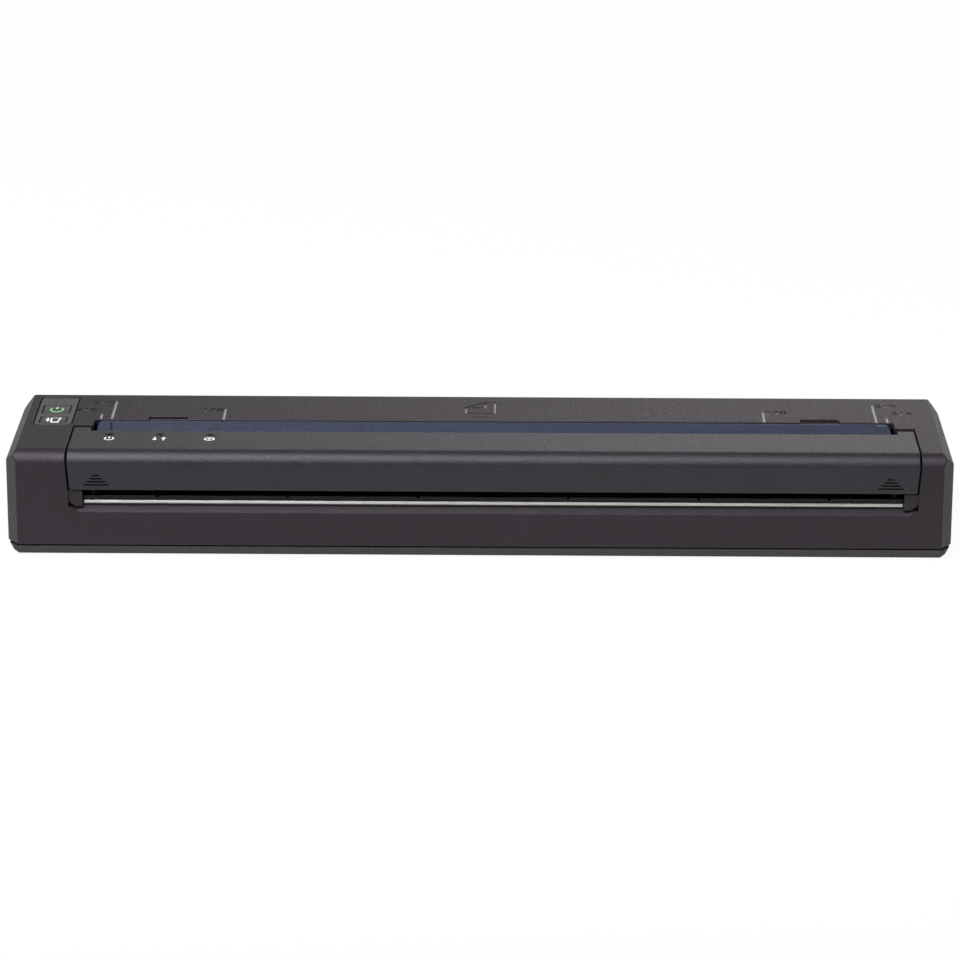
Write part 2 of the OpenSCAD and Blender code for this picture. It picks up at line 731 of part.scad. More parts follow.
module paper_guide() color("#464c64") {
    difference() {
        union() {
            along_x(path_l + 0.1, path_w - 0.2) polygon([
                guide_top, guide_top + [rim_w, 0], guide_top + [rim_w, -1],
                guide_top - 2 * guide_run + guide_in, guide_low + guide_in, guide_low]);
            // Steps at the ends, outside the edges of an A4 sheet
            for (x = [path_l + 0.1, path_r - 0.1 - guide_end]) along_x(x, guide_end) polygon([
                guide_top + [-guide_step, 0], guide_top, guide_top - 3.5 * guide_step * guide_run,
                guide_top - 2.3 * guide_step * guide_run + [-guide_step, 0]]);
            // Lugs that sit on the side plates
            for (x = [plate_l, path_r - 0.2]) translate([x, guide_low[0] + 1.6, plate_top])
                cube([sheet_t + 0.2, 4, 2]);
        }
        // Round top corners
        along_y(guide_low[0] - 2, 12) {
            translate([path_r - 0.1, guide_top[1]]) corner_waste(guide_r);
            translate([path_l + 0.1, guide_top[1]]) mirror([1, 0]) corner_waste(guide_r);
        }
        // Grooves at the edges of the sheets
        for (side = [-1, 1], w = sheets) along_x(paper_x + side * w / 2 - 0.2, 0.4)
            polygon([guide_top + [-0.2, 0.5], guide_top + [0.25, 0.5],
                     guide_low + [0.25, -0.2], guide_low + [-0.3, 0]]);
    }
}

// Pads on the exit guide's front edge: share of the way to the path's edge, and width
exit_pads = [[0, 10.2], [0.3475, 5.2], [0.671, 4.8], [0.9926, 4.1]];
// Notches between them, as the same share
exit_notches = [0.1857, 0.5092, 0.8318];

module exit_guide() color("#3a393d") {
    back_y = platen_y - 2.4;
    back_z = platen_z - platen_r - 1.2;
    rest_z = chassis_z + sheet_t;
    difference() {
        along_x(paper_x - slot_half, 2 * slot_half) polygon([
            [exit_y, exit_z], [exit_y + 0.9, exit_z], [exit_y + 2.4, exit_z - 0.9],
            [back_y, back_z], [back_y, back_z - 1.2], [exit_y + 2.2, exit_z - 2.6],
            [exit_y + 1.2, exit_z - 2.6], [exit_y + 1.2, tongue_z], [exit_y, tongue_z]]);
        for (side = [-1, 1], s = exit_notches)
            translate([paper_x + side * s * path_w / 2 - 0.4, exit_y - over, exit_z - 0.5])
                cube([0.8, 4, 2]);
    }
    // Pads on the front edge
    for (side = [-1, 1], pad = exit_pads) if (side > 0 || pad[0] > 0)
        translate([paper_x + side * pad[0] * path_w / 2 - pad[1] / 2, exit_y - 0.3, exit_z - 1.1])
            cube([pad[1], 0.6, 1.1]);
    // Rim in front of the tear bar's foot
    along_x(paper_x - slot_half, 2 * slot_half) polygon([
        [exit_y + 0.2, bar_foot - 1], [exit_y + 0.2, bar_foot], [bar_y, bar_foot],
        [bar_y, lip_top + 0.4], [bar_y - 0.4, lip_top + 0.4], [bar_y - 0.4, bar_foot - 1]]);
    // Ribs under the slope, which stand on the chassis
    for (x = [path_l + 8.8:25:path_r - 8.8]) along_x(x, 1) polygon([
        [exit_y + 1.1, exit_z - 2], [back_y, back_z - 1], [back_y - 1, rest_z],
        [chassis_front, rest_z], [exit_y + 1.1, tongue_z + 1]]);
    // Cheeks that close the mouth beside the aperture
    intersection() {
        for (side = [-1, 1]) translate([paper_x + side * (slot_half + 4) - 4, front_y + 0.5, tongue_z])
            cube([8, exit_y + 2 - front_y - 0.5, cover_low - free - tongue_z]);
        union() {
            along_y(front_y + 0.5, wall) mouth_outline(lip_top + 0.1, lip_r - lip_rise / 2);
            translate([cover_l, front_y + wall, 0]) cube([cover_r - cover_l, 8, body_h]);
        }
    }
}

module tear_bar() color("#dedcd2") {
    along_x(paper_x - slot_half + 0.2, 2 * slot_half - 0.4) polygon([
        [bar_y, bar_foot], [bar_y, bar_top - 0.5], [bar_y + 0.3, bar_top],
        [bar_y + bar_t, bar_top], [bar_y + bar_t, bar_foot]]);
}

// ---- Chassis and print head ----

module side_plate(x, rear, carries_motor) {
    along_x(x, sheet_t) difference() {
        polygon([[chassis_front, chassis_z], [rear, chassis_z], [rear, platen_z - 0.5],
                 platen_c + [19, 0.5], [platen_y + 18.1, plate_top], [platen_y + 8.5, plate_top],
                 platen_c + [7.1, 3.1], platen_c + [7.1, -5.5], platen_c + [4.5, -8],
                 [chassis_front, platen_z - 8]]);
        polygon([for (q = [[tab_u - slack, -1], [tab_u + tab_len + slack, -1],
                           [tab_u + tab_len + slack, 1], [tab_u - slack, 1]])
                 head_pt(q[0], (sink_v + spring_v) / 2 + q[1] * (sink_t / 2 - 0.5 + slack))]);
        if (carries_motor) {
            translate(motor_c) circle(2.6);
            translate(idler_c) circle(axle_r);
            translate(reduction_c) circle(axle_r);
            for (a = [-1, 1]) translate(motor_c + polar(6.2, 60 * a + 30)) circle(0.8);
        }
    }
}

module chassis() color("#b4b6b8") {
    top_u = 7.5;
    top_z = chassis_z + sheet_t;
    difference() {
        along_x(plate_l, path_w + 2 * sheet_t) polygon([
            [chassis_front, chassis_z], [chassis_front, top_z], head_pt(head_u(wall_v, top_z), wall_v),
            head_pt(top_u, wall_v), head_pt(top_u, wall_v + sheet_t),
            head_pt(head_u(wall_v + sheet_t, chassis_z), wall_v + sheet_t)]);
        // Lightening holes in the floor
        for (x = [path_l + 14:22:path_r - 24]) translate([x, platen_y - 5.5, 0]) cube([12, 4, 8]);
    }
    side_plate(plate_l, rear_y - 4.6, true);
    side_plate(path_r, platen_y + 20.5, false);
    // Nubs that centre the springs
    for (x = spring_spots) translate([x, head_pt(0, wall_v)[0], head_pt(0, wall_v)[1]])
        rotate([head_slope, 0, 0]) cylinder(h = 1.2, r = spring_r - 2 * spring_wire - 0.2);
}

spring_spots = [for (i = [0:spring_count - 1]) path_l + 10 + i * (path_w - 20) / (spring_count - 1)];

// The head plate's tabs: place and length along the slope
tab_u = 3;
tab_len = 4;

// A plate on the head between two places along u and two along v
module head_slab(u0, u1, v0, v1, x, len) {
    along_x(x, len) polygon([head_pt(u0, v0), head_pt(u1, v0), head_pt(u1, v1), head_pt(u0, v1)]);
}

module head_substrate() color("#d9d6cc") {
    head_slab(-substrate_w / 2 + 0.5, substrate_w / 2 + 0.5, face_v, sink_v, path_l + 0.8, path_w - 1.6);
}

module head_plate() color("#a9adb2") {
    difference() {
        head_slab(-substrate_w / 2, substrate_w / 2 + 5, sink_v, spring_v, path_l + 0.3, path_w - 0.6);
        // Grooves along the back
        for (u = [2.6, 4.6, 6.6]) head_slab(u, u + 0.9, spring_v - 1.2, spring_v + over, path_l, path_w);
    }
    // Tabs in the side plates' slots
    for (x = [plate_l, path_r - 0.5])
        head_slab(tab_u, tab_u + tab_len, sink_v + 0.5, spring_v - 0.5, x, sheet_t + 0.5);
}

module head_chip_cover() color("#222226") {
    along_x(path_l + 1.2, path_w - 2.4) polygon([
        head_pt(substrate_w / 2 + 0.7, sink_v), head_pt(substrate_w / 2 + 4.6, sink_v),
        head_pt(substrate_w / 2 + 4.6, sink_v - 1.7), head_pt(substrate_w / 2 + 2, sink_v - 1.7),
        head_pt(substrate_w / 2 + 0.7, sink_v - 0.7)]);
}

// One coil spring along +Z as a single swept tube
module coil(r, wire, len, turns) {
    sides = 6;
    steps = 8;
    rings = turns * steps;
    function ring(i) = let (a = 360 * i / steps, z = wire + (len - 2 * wire) * i / rings)
        [for (k = [0:sides - 1]) let (q = 360 * k / sides)
            [(r + wire * cos(q)) * cos(a), (r + wire * cos(q)) * sin(a), z + wire * sin(q)]];
    polyhedron(
        [for (i = [0:rings]) each ring(i)],
        concat([[for (k = [0:sides - 1]) k]],
            [[for (k = [sides - 1:-1:0]) rings * sides + k]],
            [for (i = [0:rings - 1], k = [0:sides - 1]) each let (n = (k + 1) % sides, b = i * sides)
                [[b + k, b + sides + k, b + n], [b + n, b + sides + k, b + sides + n]]]));
}

module head_springs() color("#c8c8c4") {
    start = head_pt(0, wall_v);
    for (x = spring_spots) translate([x, start[0], start[1]]) rotate([head_slope, 0, 0])
        coil(spring_r - spring_wire, spring_wire, spring_l, 4);
}

// A flat cable as a strip along points in Y and Z
module strip(points, t) {
    for (i = [0:len(points) - 2]) {
        step = points[i + 1] - points[i];
        translate(points[i]) rotate(atan2(step[1], step[0])) translate([0, -t / 2])
            square([norm(step) + t / 2, t]);
    }
}

cable_w = 36;

module head_cable() color("#d8d4c4") {
    along_x(paper_x - 24, cable_w) strip([
        head_pt(substrate_w / 2 + 4.9, sink_v - 0.4), head_pt(substrate_w / 2 + 7, sink_v + 0.6),
        head_pt(substrate_w / 2 + 7, sink_v + 3.2), [board_y - 2, board_z + board_t + 0.8],
        [board_y + 2.7, board_z + board_t + 0.25]], 0.3);
}

module paper_sensor() color("#1f1f22") {
    spot = guide_low + guide_in + guide_run;
    depth = guide_in / guide_t * 2.2;
    along_x(paper_x - path_w / 5, 6) polygon([spot, spot + 2.4 * guide_run,
                                      spot + 2.4 * guide_run + depth, spot + depth]);
}

// ---- Drive ----

module motor() color("#8d9093") {
    rod(motor_c, path_l + 1, motor_l, motor_r);
    along_x(path_l, 1) difference() {
        union() {
            translate(motor_c) circle(motor_r);
            for (a = [-1, 1]) translate(motor_c + polar(6.2, 60 * a + 30)) circle(1.8);
        }
        translate(motor_c) circle(1.2);
        for (a = [-1, 1]) translate(motor_c + polar(6.2, 60 * a + 30)) circle(0.8);
    }
}

module motor_screws() color("silver") {
    for (a = [-1, 1]) {
        c = motor_c + polar(6.2, 60 * a + 30);
        rod(c, plate_l - 0.8, 0.8, 1.5);
        rod(c, plate_l, sheet_t + 1, 0.8);
    }
}

module motor_shaft() color("#c9cacc") {
    rod(motor_c, far_x - 0.3, path_l + 1 - far_x + 0.3 - slack, 0.75);
}

module motor_pinion() color("#c7a65a") {
    gear(pinion_teeth, pinion_turn, motor_c, far_x, gear_w, 0.75);
}

module reduction_gear() color("#e5e0d2") {
    gear(large_teeth, 0, reduction_c, far_x, gear_w, axle_r + slack);
    gear(small_teeth, small_turn, reduction_c, far_x + gear_w, gear_w + free, axle_r + slack);
}

module idler_gear() color("#e5e0d2") {
    gear(idler_teeth, idler_turn, idler_c, near_x, gear_w, axle_r + slack);
}

module gear_axles() color("silver") {
    rod(idler_c, near_x - 0.6, plate_l + sheet_t - near_x + 0.6, axle_r);
    rod(reduction_c, far_x - 0.6, plate_l + sheet_t - far_x + 0.6, axle_r);
}

module axle_clips() color("#3c3c3e") {
    for (place = [[idler_c, near_x], [reduction_c, far_x]])
        along_x(place[1] - 0.45, 0.3) translate(place[0]) difference() {
            circle(axle_r + 0.9);
            circle(axle_r);
        }
}

// ---- Electronics ----

module main_board() color("#2f6b45") {
    difference() {
        translate([board_l, board_y, board_z]) cube([board_r - board_l, board_d, board_t]);
        // Room for the casing's screw bosses
        for (p = screw_spots) translate([p[0], p[1], 0]) cylinder(h = body_h, r = boss_r + free);
    }
}

function board_at(s) = board_l + s * (board_r - board_l);

module board_parts() color("#26262a") {
    z = board_z + board_t;
    h = top_in - 0.6 - z;
    // Chips, capacitors and the head cable's connector, at shares of the board's length
    for (s = [0.2, 0.57, 0.76]) translate([board_at(s), board_y + 4.5, z]) cube([9, 9, min(1.2, h)]);
    for (s = [0.3, 0.335, 0.68, 0.88])
        translate([board_at(s), board_y + 7, z]) cylinder(h = min(2.4, h), r = 2);
    translate([paper_x - 24 - 2, board_y + 3, z]) cube([cable_w + 4, 3, min(1.6, h)]);
}

module usb_socket() color("#c9cacc") {
    translate([port_x - usb[0], usb_y, board_z - usb[2]]) difference() {
        cube(usb);
        translate([1.5, 0.5, 0.5]) cube([usb[0], usb[1] - 1, usb[2] - 1]);
    }
    translate([port_x - usb[0] + 1.5, usb_y + 1.5, board_z - usb[2] / 2 - 0.4])
        cube([usb[0] - 3, usb[1] - 3, 0.8]);
}

module dc_socket() color("#1c1c1e") {
    axis_y = dc_y + dc[1] / 2;
    axis_z = board_z - dc[2] / 2;
    difference() {
        translate([port_x - 1.5 - dc[0], dc_y, board_z - dc[2]]) cube(dc);
        translate([port_x - dc[0] + 1, axis_y, axis_z]) rotate([0, 90, 0]) cylinder(h = dc[0], r = dc_r);
    }
    translate([port_x - dc[0], axis_y, axis_z]) rotate([0, 90, 0]) cylinder(h = dc[0] - 2.2, r = 0.85);
}

// ---- Battery ----

module battery_pack() color("#3b4048") {
    r = 3;
    y = battery_y;
    along_x(battery_x, battery_l) translate([y, battery_z]) difference() {
        square(battery_s);
        translate([battery_s, battery_s]) corner_waste(r);
        translate([0, battery_s]) mirror([1, 0]) corner_waste(r);
        translate([battery_s, 0]) mirror([0, 1]) corner_waste(r);
        rotate(180) corner_waste(r);
    }
}

module battery_contacts() color("#c7a65a") {
    foot = door_l - rib_t / 2;
    for (i = [0:2]) along_y(battery_y + 2.3 + 3.2 * i, 2) polygon([
        [foot - 0.2, bay_rib_z], [foot - 0.2, bay_rib_z + 4], [battery_x - 0.3, bay_rib_z + 4.8],
        [battery_x - 0.1, bay_rib_z + 4.4], [foot + 0.2, bay_rib_z + 3.7], [foot + 0.2, bay_rib_z]]);
}

module battery_door() color("#444146") {
    difference() {
        union() {
            translate([door_l + door_gap, door_y + door_gap, z0])
                cube([door_w - 2 * door_gap, door_hinge[0] - door_y - door_gap, door_t]);
            rod(door_hinge, door_l + door_gap, door_w - 2 * door_gap, knuckle_r);
            // Hinge stubs
            rod(door_hinge, door_l - 1.6, door_w + 3.2, 0.6);
            // Ribs that hold the pack up
            for (x = [door_l + 12:25:door_l + door_w - 5])
                translate([x, door_y + 2, z0 + door_t - 0.5])
                    cube([1, door_hinge[0] - door_y - 5, battery_z - 0.2 - z0 - door_t + 0.5]);
        }
        // Finger notch at the front edge
        translate([door_l + door_w / 2 - 7, door_y + door_gap - over, z0 - over])
            cube([14, over + 1.6, over + 0.8]);
        // Grip grooves
        for (i = [0:3]) translate([door_l + door_w / 2 - 5, door_y + 3 + i * 1.2, z0 - over])
            cube([10, 0.5, over + 0.35]);
    }
}

// ---- Keys ----

module key_hole(cy, w, d) {
    translate([key_cx - w / 2 - key_gap, cy - d / 2 - key_gap, panel_top - panel_t - over])
        round_box([w + 2 * key_gap, d + 2 * key_gap, 4], 0.5, 0.5);
}

module key_panel() color("#686568") {
    difference() {
        translate([panel_x + slack, panel_y + slack, panel_top - panel_t])
            round_box([panel_w - 2 * slack, panel_l - 2 * slack, panel_t], panel_r, panel_front_r);
        key_hole(power_y, power_s - 0.1, power_s);
        key_hole(feed_y, power_s - 0.4, feed_d);
    }
    // Posts that carry the key board
    for (y = key_posts) translate([key_cx, y, key_board_z + key_board_t])
        cylinder(h = panel_top - panel_t / 2 - key_board_z - key_board_t, r = 0.9);
}

// A key with a crowned top, a rim under the panel and a stem over its switch
module key(cy, w, d) {
    low = panel_top - panel_t - free;
    plunger = key_board_z + key_board_t + switch_h;
    crown_r = (d * d / 4 + key_crown * key_crown) / (2 * key_crown);
    intersection() {
        translate([key_cx - w / 2, cy - d / 2, low - 0.01])
            round_box([w, d, body_h - low + 0.01], 0.5, 0.5);
        along_x(key_cx - w / 2, w) translate([cy, body_h - crown_r]) circle(crown_r, $fn = 180);
    }
    translate([key_cx - w / 2 - 0.4, cy - d / 2 - 0.4, low - 0.6]) cube([w + 0.8, d + 0.8, 0.6]);
    translate([key_cx, cy, plunger + key_travel + 0.1])
        cylinder(h = low - plunger - key_travel - 0.3, r = 1.2);
}

module power_key() color("#5c5a5d") key(power_y, power_s - 0.1, power_s);

module feed_key() color("#5c5a5d") key(feed_y, power_s - 0.4, feed_d);

module key_board() color("#2f6b45") {
    translate([key_cx - 4.4, panel_y + 0.2, key_board_z])
        cube([8.8, key_posts[1] + 0.9 - panel_y, key_board_t]);
}

module key_switches() color("#26262a") {
    for (y = [power_y, feed_y]) translate([key_cx, y, key_board_z + key_board_t]) {
        translate([-2.6, -1.9, 0]) cube([5.2, 3.8, switch_h - 0.7]);
        cylinder(h = switch_h, r = 1);
    }
}

// ---- Feet and screws ----

module rubber_feet() color("#202022") {
    for (p = foot_spots) translate([p[0], p[1], 0]) cylinder(h = z0 + 0.8, r = foot_r);
}

module case_screws() color("#9a9a9c") {
    for (p = screw_spots) translate([p[0], p[1], z0 + 0.4]) screw(2, 1, screw_r - 0.3, 9);
}

base_tray();
top_casing();
release_cover();
roller_bracket();
bracket_screws();
light_windows();
indicator_board();
platen_shaft();
platen_rubber();
platen_bushes();
platen_gear();
hinge_pins();
paper_guide();
exit_guide();
tear_bar();
chassis();
head_substrate();
head_plate();
head_chip_cover();
head_springs();
head_cable();
paper_sensor();
motor();
motor_screws();
motor_shaft();
motor_pinion();
reduction_gear();
idler_gear();
gear_axles();
axle_clips();
main_board();
board_parts();
usb_socket();
dc_socket();
battery_pack();
battery_contacts();
battery_door();
key_panel();
power_key();
feed_key();
key_board();
key_switches();
rubber_feet();
case_screws();
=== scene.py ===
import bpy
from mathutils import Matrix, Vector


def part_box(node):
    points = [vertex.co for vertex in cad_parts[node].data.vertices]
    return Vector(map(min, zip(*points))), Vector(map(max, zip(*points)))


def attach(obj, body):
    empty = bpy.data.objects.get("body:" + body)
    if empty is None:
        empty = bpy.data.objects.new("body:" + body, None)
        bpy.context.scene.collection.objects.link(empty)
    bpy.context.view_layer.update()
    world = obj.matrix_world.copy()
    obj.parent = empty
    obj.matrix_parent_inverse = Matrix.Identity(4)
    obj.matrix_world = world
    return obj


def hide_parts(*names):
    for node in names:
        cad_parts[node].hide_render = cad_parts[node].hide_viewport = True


bl_info = {
    "name": "Portable Thermal Printer",
    "version": (1, 0, 0),
    "blender": (4, 5, 0),
    "location": "3D View > Sidebar > Printer",
    "description": "Finishes a slim thermal printer over its packed frame and sets its studio",
    "category": "Object",
}

import math

import bmesh
import bpy
from bpy.props import (
    FloatProperty,
    FloatVectorProperty,
    IntProperty,
    PointerProperty,
)
from mathutils import Matrix, Vector
from mathutils.bvhtree import BVHTree

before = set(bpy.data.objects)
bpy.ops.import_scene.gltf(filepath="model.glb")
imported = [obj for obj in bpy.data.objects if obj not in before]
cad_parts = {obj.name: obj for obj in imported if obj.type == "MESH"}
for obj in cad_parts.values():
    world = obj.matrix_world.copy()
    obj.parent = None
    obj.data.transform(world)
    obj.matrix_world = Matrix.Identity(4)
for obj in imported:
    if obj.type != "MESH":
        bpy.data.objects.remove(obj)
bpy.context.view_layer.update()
MM = 0.001


def middle(node, axis=0):
    """Middle of a CAD node's box along one axis."""
    low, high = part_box(node)
    return (low[axis] + high[axis]) / 2


# Places that the marks and signs are set out from, read from the frame
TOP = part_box("top_casing")[1].z
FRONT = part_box("top_casing")[0].y
PATH_MID = middle("platen_rubber")
SLOT_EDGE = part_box("paper_guide")[1].y
COVER_LOW, COVER_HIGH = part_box("release_cover")
KEY_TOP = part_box("power_key")[1].z
INK_LOW, INK_HIGH = KEY_TOP - 0.03 * MM, KEY_TOP + 0.015 * MM
WINDOW_R = (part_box("light_windows")[1].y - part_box("light_windows")[0].y) / 2

# Angle past which two faces meet at a crisp edge
CRISP = math.radians(35)


# ---------------------------------------------------------------- settings


class PrinterFinish(bpy.types.PropertyGroup):
    """Colours, grain and edges of the mouldings"""

    edge: FloatProperty(
        name="Edge Radius", description="Rounding of the outer moulded edges",
        default=0.3 * MM, min=0, unit="LENGTH")
    grain: FloatProperty(
        name="Grain Size", description="Size of one grain of the moulded texture",
        default=0.34 * MM, min=0.05 * MM, unit="LENGTH")
    grain_depth: FloatProperty(
        name="Grain Depth", description="Depth of the moulded texture",
        default=0.11 * MM, min=0, unit="LENGTH")
    sheen: FloatProperty(
        name="Sheen", description="How strongly the grained mouldings mirror the room",
        default=0.4, min=0, max=1)
    casing: FloatVectorProperty(
        name="Casing", description="Colour of the main casing",
        default=(0.0118, 0.0096, 0.0119), size=3, subtype="COLOR", min=0, max=1)
    cover: FloatVectorProperty(
        name="Release Cover", description="Colour of the release cover",
        default=(0.0145, 0.0134, 0.0160), size=3, subtype="COLOR", min=0, max=1)
    base: FloatVectorProperty(
        name="Base Tray", description="Colour of the base tray and the battery door",
        default=(0.0135, 0.0110, 0.0130), size=3, subtype="COLOR", min=0, max=1)
    guide: FloatVectorProperty(
        name="Paper Guide", description="Colour of the guide behind the input slot",
        default=(0.021, 0.026, 0.049), size=3, subtype="COLOR", min=0, max=1)
    panel: FloatVectorProperty(
        name="Key Panel", description="Colour of the key panel",
        default=(0.044, 0.040, 0.045), size=3, subtype="COLOR", min=0, max=1)
    keys: FloatVectorProperty(
        name="Keys", description="Colour of the key caps",
        default=(0.044, 0.040, 0.045), size=3, subtype="COLOR", min=0, max=1)


class PrinterMarks(bpy.types.PropertyGroup):
    """Engraved and printed marks"""

    a4: FloatProperty(
        name="A4 Width", description="Width of an A4 sheet",
        default=210 * MM, unit="LENGTH")
    letter: FloatProperty(
        name="Letter Width", description="Width of a Letter sheet",
        default=216 * MM, unit="LENGTH")
    a5: FloatProperty(
        name="A5 Width", description="Width of an A5 sheet",
        default=148.5 * MM, unit="LENGTH")
    line: FloatProperty(
        name="Line Width", description="Width of the engraved sheet marks",
        default=0.75 * MM, min=0.1 * MM, unit="LENGTH")
    depth: FloatProperty(
        name="Engraving Depth", description="Depth of the engraved marks",
        default=0.25 * MM, min=0.02 * MM, unit="LENGTH")
    number: FloatProperty(
        name="Number Height", description="Height of the engraved numbers",
        default=2.9 * MM, min=0.5 * MM, unit="LENGTH")
    grip_rows: IntProperty(
        name="Grip Rows", description="Grooves in each grip mark of the release cover",
        default=4, min=1, max=12)
    grip_pitch: FloatProperty(
        name="Grip Pitch", description="Distance from one grip groove to the next",
        default=0.87 * MM, min=0.2 * MM, unit="LENGTH")


class PrinterStage(bpy.types.PropertyGroup):
    """Camera, lamps and floor"""

    distance: FloatProperty(
        name="Distance", description="Camera's distance from the middle of the printer",
        default=1.15786, min=0.2, unit="LENGTH")
    azimuth: FloatProperty(
        name="Azimuth", description="How far the camera stands to the right of square on",
        default=math.radians(0.406), unit="ROTATION")
    elevation: FloatProperty(
        name="Elevation", description="How high the camera stands",
        default=math.radians(18.216), unit="ROTATION")
    roll: FloatProperty(
        name="Roll", description="Turn of the camera about its view",
        default=math.radians(0.176), unit="ROTATION")
    lens: FloatProperty(
        name="Lens", description="Focal length in millimetres on a 36 mm sensor",
        default=157.86, min=10)
    shift: FloatProperty(
        name="Shift", description="Upward shift of the lens",
        default=-0.00472)
    key: FloatProperty(
        name="Key Lamp", description="Brightness of the softbox in front, where 1 is white",
        default=7.8, min=0)
    rear: FloatProperty(
        name="Rear Lamp", description="Brightness of the low softbox behind, where 1 is white",
        default=0.66, min=0)
    room: FloatProperty(
        name="Room", description="Brightness of the grey room round the stage",
        default=0.24, min=0)


# ---------------------------------------------------------------- materials


class Finish:
    """A node material under construction."""

    def __init__(self, name):
        self.mat = bpy.data.materials.new(name)
        self.mat.use_nodes = True
        self.tree = self.mat.node_tree
        self.bsdf = self.tree.nodes["Principled BSDF"]
        self.coords = self.tree.nodes.new("ShaderNodeTexCoord").outputs["Object"]

    def node(self, kind, **values):
        """A new node with some of its properties set."""
        made = self.tree.nodes.new(kind)
        for key, value in values.items():
            setattr(made, key, value)
        return made

    def link(self, out, into):
        self.tree.links.new(out, into)

    def shader(self, **values):
        """Constant values of the shader, by socket name with _ for a space."""
        for key, value in values.items():
            socket = key.replace("_", " ").title().replace("Ior", "IOR")
            self.bsdf.inputs[socket].default_value = value

    def noise(self, size, detail=2.0, rough=0.5, stretch=(1, 1, 1)):
        """Noise with features of that size in metres, stretched along the axes."""
        vector = self.coords
        if stretch != (1, 1, 1):
            mapping = self.node("ShaderNodeMapping")
            mapping.inputs["Scale"].default_value = stretch
            self.link(vector, mapping.inputs["Vector"])
            vector = mapping.outputs["Vector"]
        tex = self.node("ShaderNodeTexNoise")
        tex.inputs["Scale"].default_value = 1 / size
        tex.inputs["Detail"].default_value = detail
        tex.inputs["Roughness"].default_value = rough
        self.link(vector, tex.inputs["Vector"])
        return tex.outputs["Fac"]

    def spread(self, value, low, high, start=0.3, end=0.7):
        """A noise value mapped from start..end to low..high."""
        ramp = self.node("ShaderNodeMapRange")
        for key, number in (("From Min", start), ("From Max", end),
                            ("To Min", low), ("To Max", high)):
            ramp.inputs[key].default_value = number
        self.link(value, ramp.inputs["Value"])
        return ramp.outputs["Result"]

    def blend(self, value, first, second):
        """A colour between two, by a value from 0 to 1."""
        mix = self.node("ShaderNodeMix", data_type="RGBA")
        mix.inputs[6].default_value = (*first, 1)
        mix.inputs[7].default_value = (*second, 1)
        self.link(value, mix.inputs[0])
        return mix.outputs[2]

    def bump(self, height, depth):
        """A surface raised by depth where height is 1."""
        node = self.node("ShaderNodeBump")
        node.inputs["Strength"].default_value = 1
        node.inputs["Distance"].default_value = depth
        self.link(height, node.inputs["Height"])
        return node.outputs["Normal"]

    def done(self, colour, roughness, normal):
        """The finished material."""
        self.link(colour, self.bsdf.inputs["Base Color"])
        self.link(roughness, self.bsdf.inputs["Roughness"])
        self.link(normal, self.bsdf.inputs["Normal"])
        return self.mat


def shade(colour, factor):
    """A colour made lighter or darker."""
    return tuple(min(1.0, c * factor) for c in colour)


def moulded(name, colour, roughness=0.5, grain=None, depth=None, spread=0.12, sheen=0.5,
            tint=(1, 1, 1)):
    """Moulded plastic with an eroded grain, slow colour drift and uneven sheen."""
    finish = bpy.context.scene.printer_finish
    grain = grain or finish.grain
    depth = finish.grain_depth if depth is None else depth
    f = Finish(name)
    fine = f.noise(grain, detail=3, rough=0.6)
    drift = f.noise(14 * MM, detail=2)
    speck = f.spread(fine, 1 - spread, 1 + spread)
    base = f.blend(f.spread(drift, 0, 1), shade(colour, 0.94), shade(colour, 1.06))
    mul = f.node("ShaderNodeVectorMath", operation="SCALE")
    f.link(base, mul.inputs[0])
    f.link(speck, mul.inputs["Scale"])
    rough = f.spread(f.noise(grain * 2.2, detail=2), roughness - 0.07, roughness + 0.09)
    f.shader(ior=1.5, specular_ior_level=sheen, specular_tint=(*tint, 1))
    return f.done(mul.outputs[0], rough, f.bump(fine, depth))


def metal(name, colour, roughness=0.25, brush=(1, 60, 60), depth=0.004 * MM):
    """Metal with fine lines along its length."""
    f = Finish(name)
    lines = f.noise(6 * MM, detail=4, rough=0.6, stretch=brush)
    patch = f.noise(9 * MM, detail=3)
    tint = f.blend(f.spread(patch, 0, 1), shade(colour, 0.9), colour)
    f.shader(metallic=1.0)
    rough = f.spread(lines, roughness - 0.08, roughness + 0.1)
    return f.done(tint, rough, f.bump(lines, depth))


def board(name, colour):
    """Lacquered circuit board with traces and a fine glass weave."""
    f = Finish(name)
    bricks = f.node("ShaderNodeTexBrick", offset=0.35, squash=0.6)
    for key, value in (("Scale", 1.0), ("Mortar Size", 0.35 * MM), ("Brick Width", 9 * MM),
                       ("Row Height", 1.7 * MM)):
        bricks.inputs[key].default_value = value
    bricks.inputs["Color1"].default_value = (*colour, 1)
    bricks.inputs["Color2"].default_value = (*shade(colour, 0.8), 1)
    bricks.inputs["Mortar"].default_value = (*shade(colour, 1.7), 1)
    f.link(f.coords, bricks.inputs["Vector"])
    weave = f.noise(0.3 * MM, detail=1)
    f.shader(ior=1.5)
    rough = f.spread(weave, 0.22, 0.34)
    return f.done(bricks.outputs["Color"], rough, f.bump(weave, 0.01 * MM))


def striped(name, colour, other, pitch):
    """Flat film with conductors along its length."""
    f = Finish(name)
    wave = f.node("ShaderNodeTexWave", bands_direction="X")
    # A wave texture of scale 1 has a band every pi / 10
    wave.inputs["Scale"].default_value = 0.314 / pitch
    f.link(f.coords, wave.inputs["Vector"])
    bands = wave.outputs["Fac"]
    tint = f.blend(f.spread(bands, 0, 1, 0.45, 0.55), colour, other)
    return f.done(tint, f.spread(f.noise(1 * MM), 0.25, 0.4), f.bump(bands, 0.03 * MM))


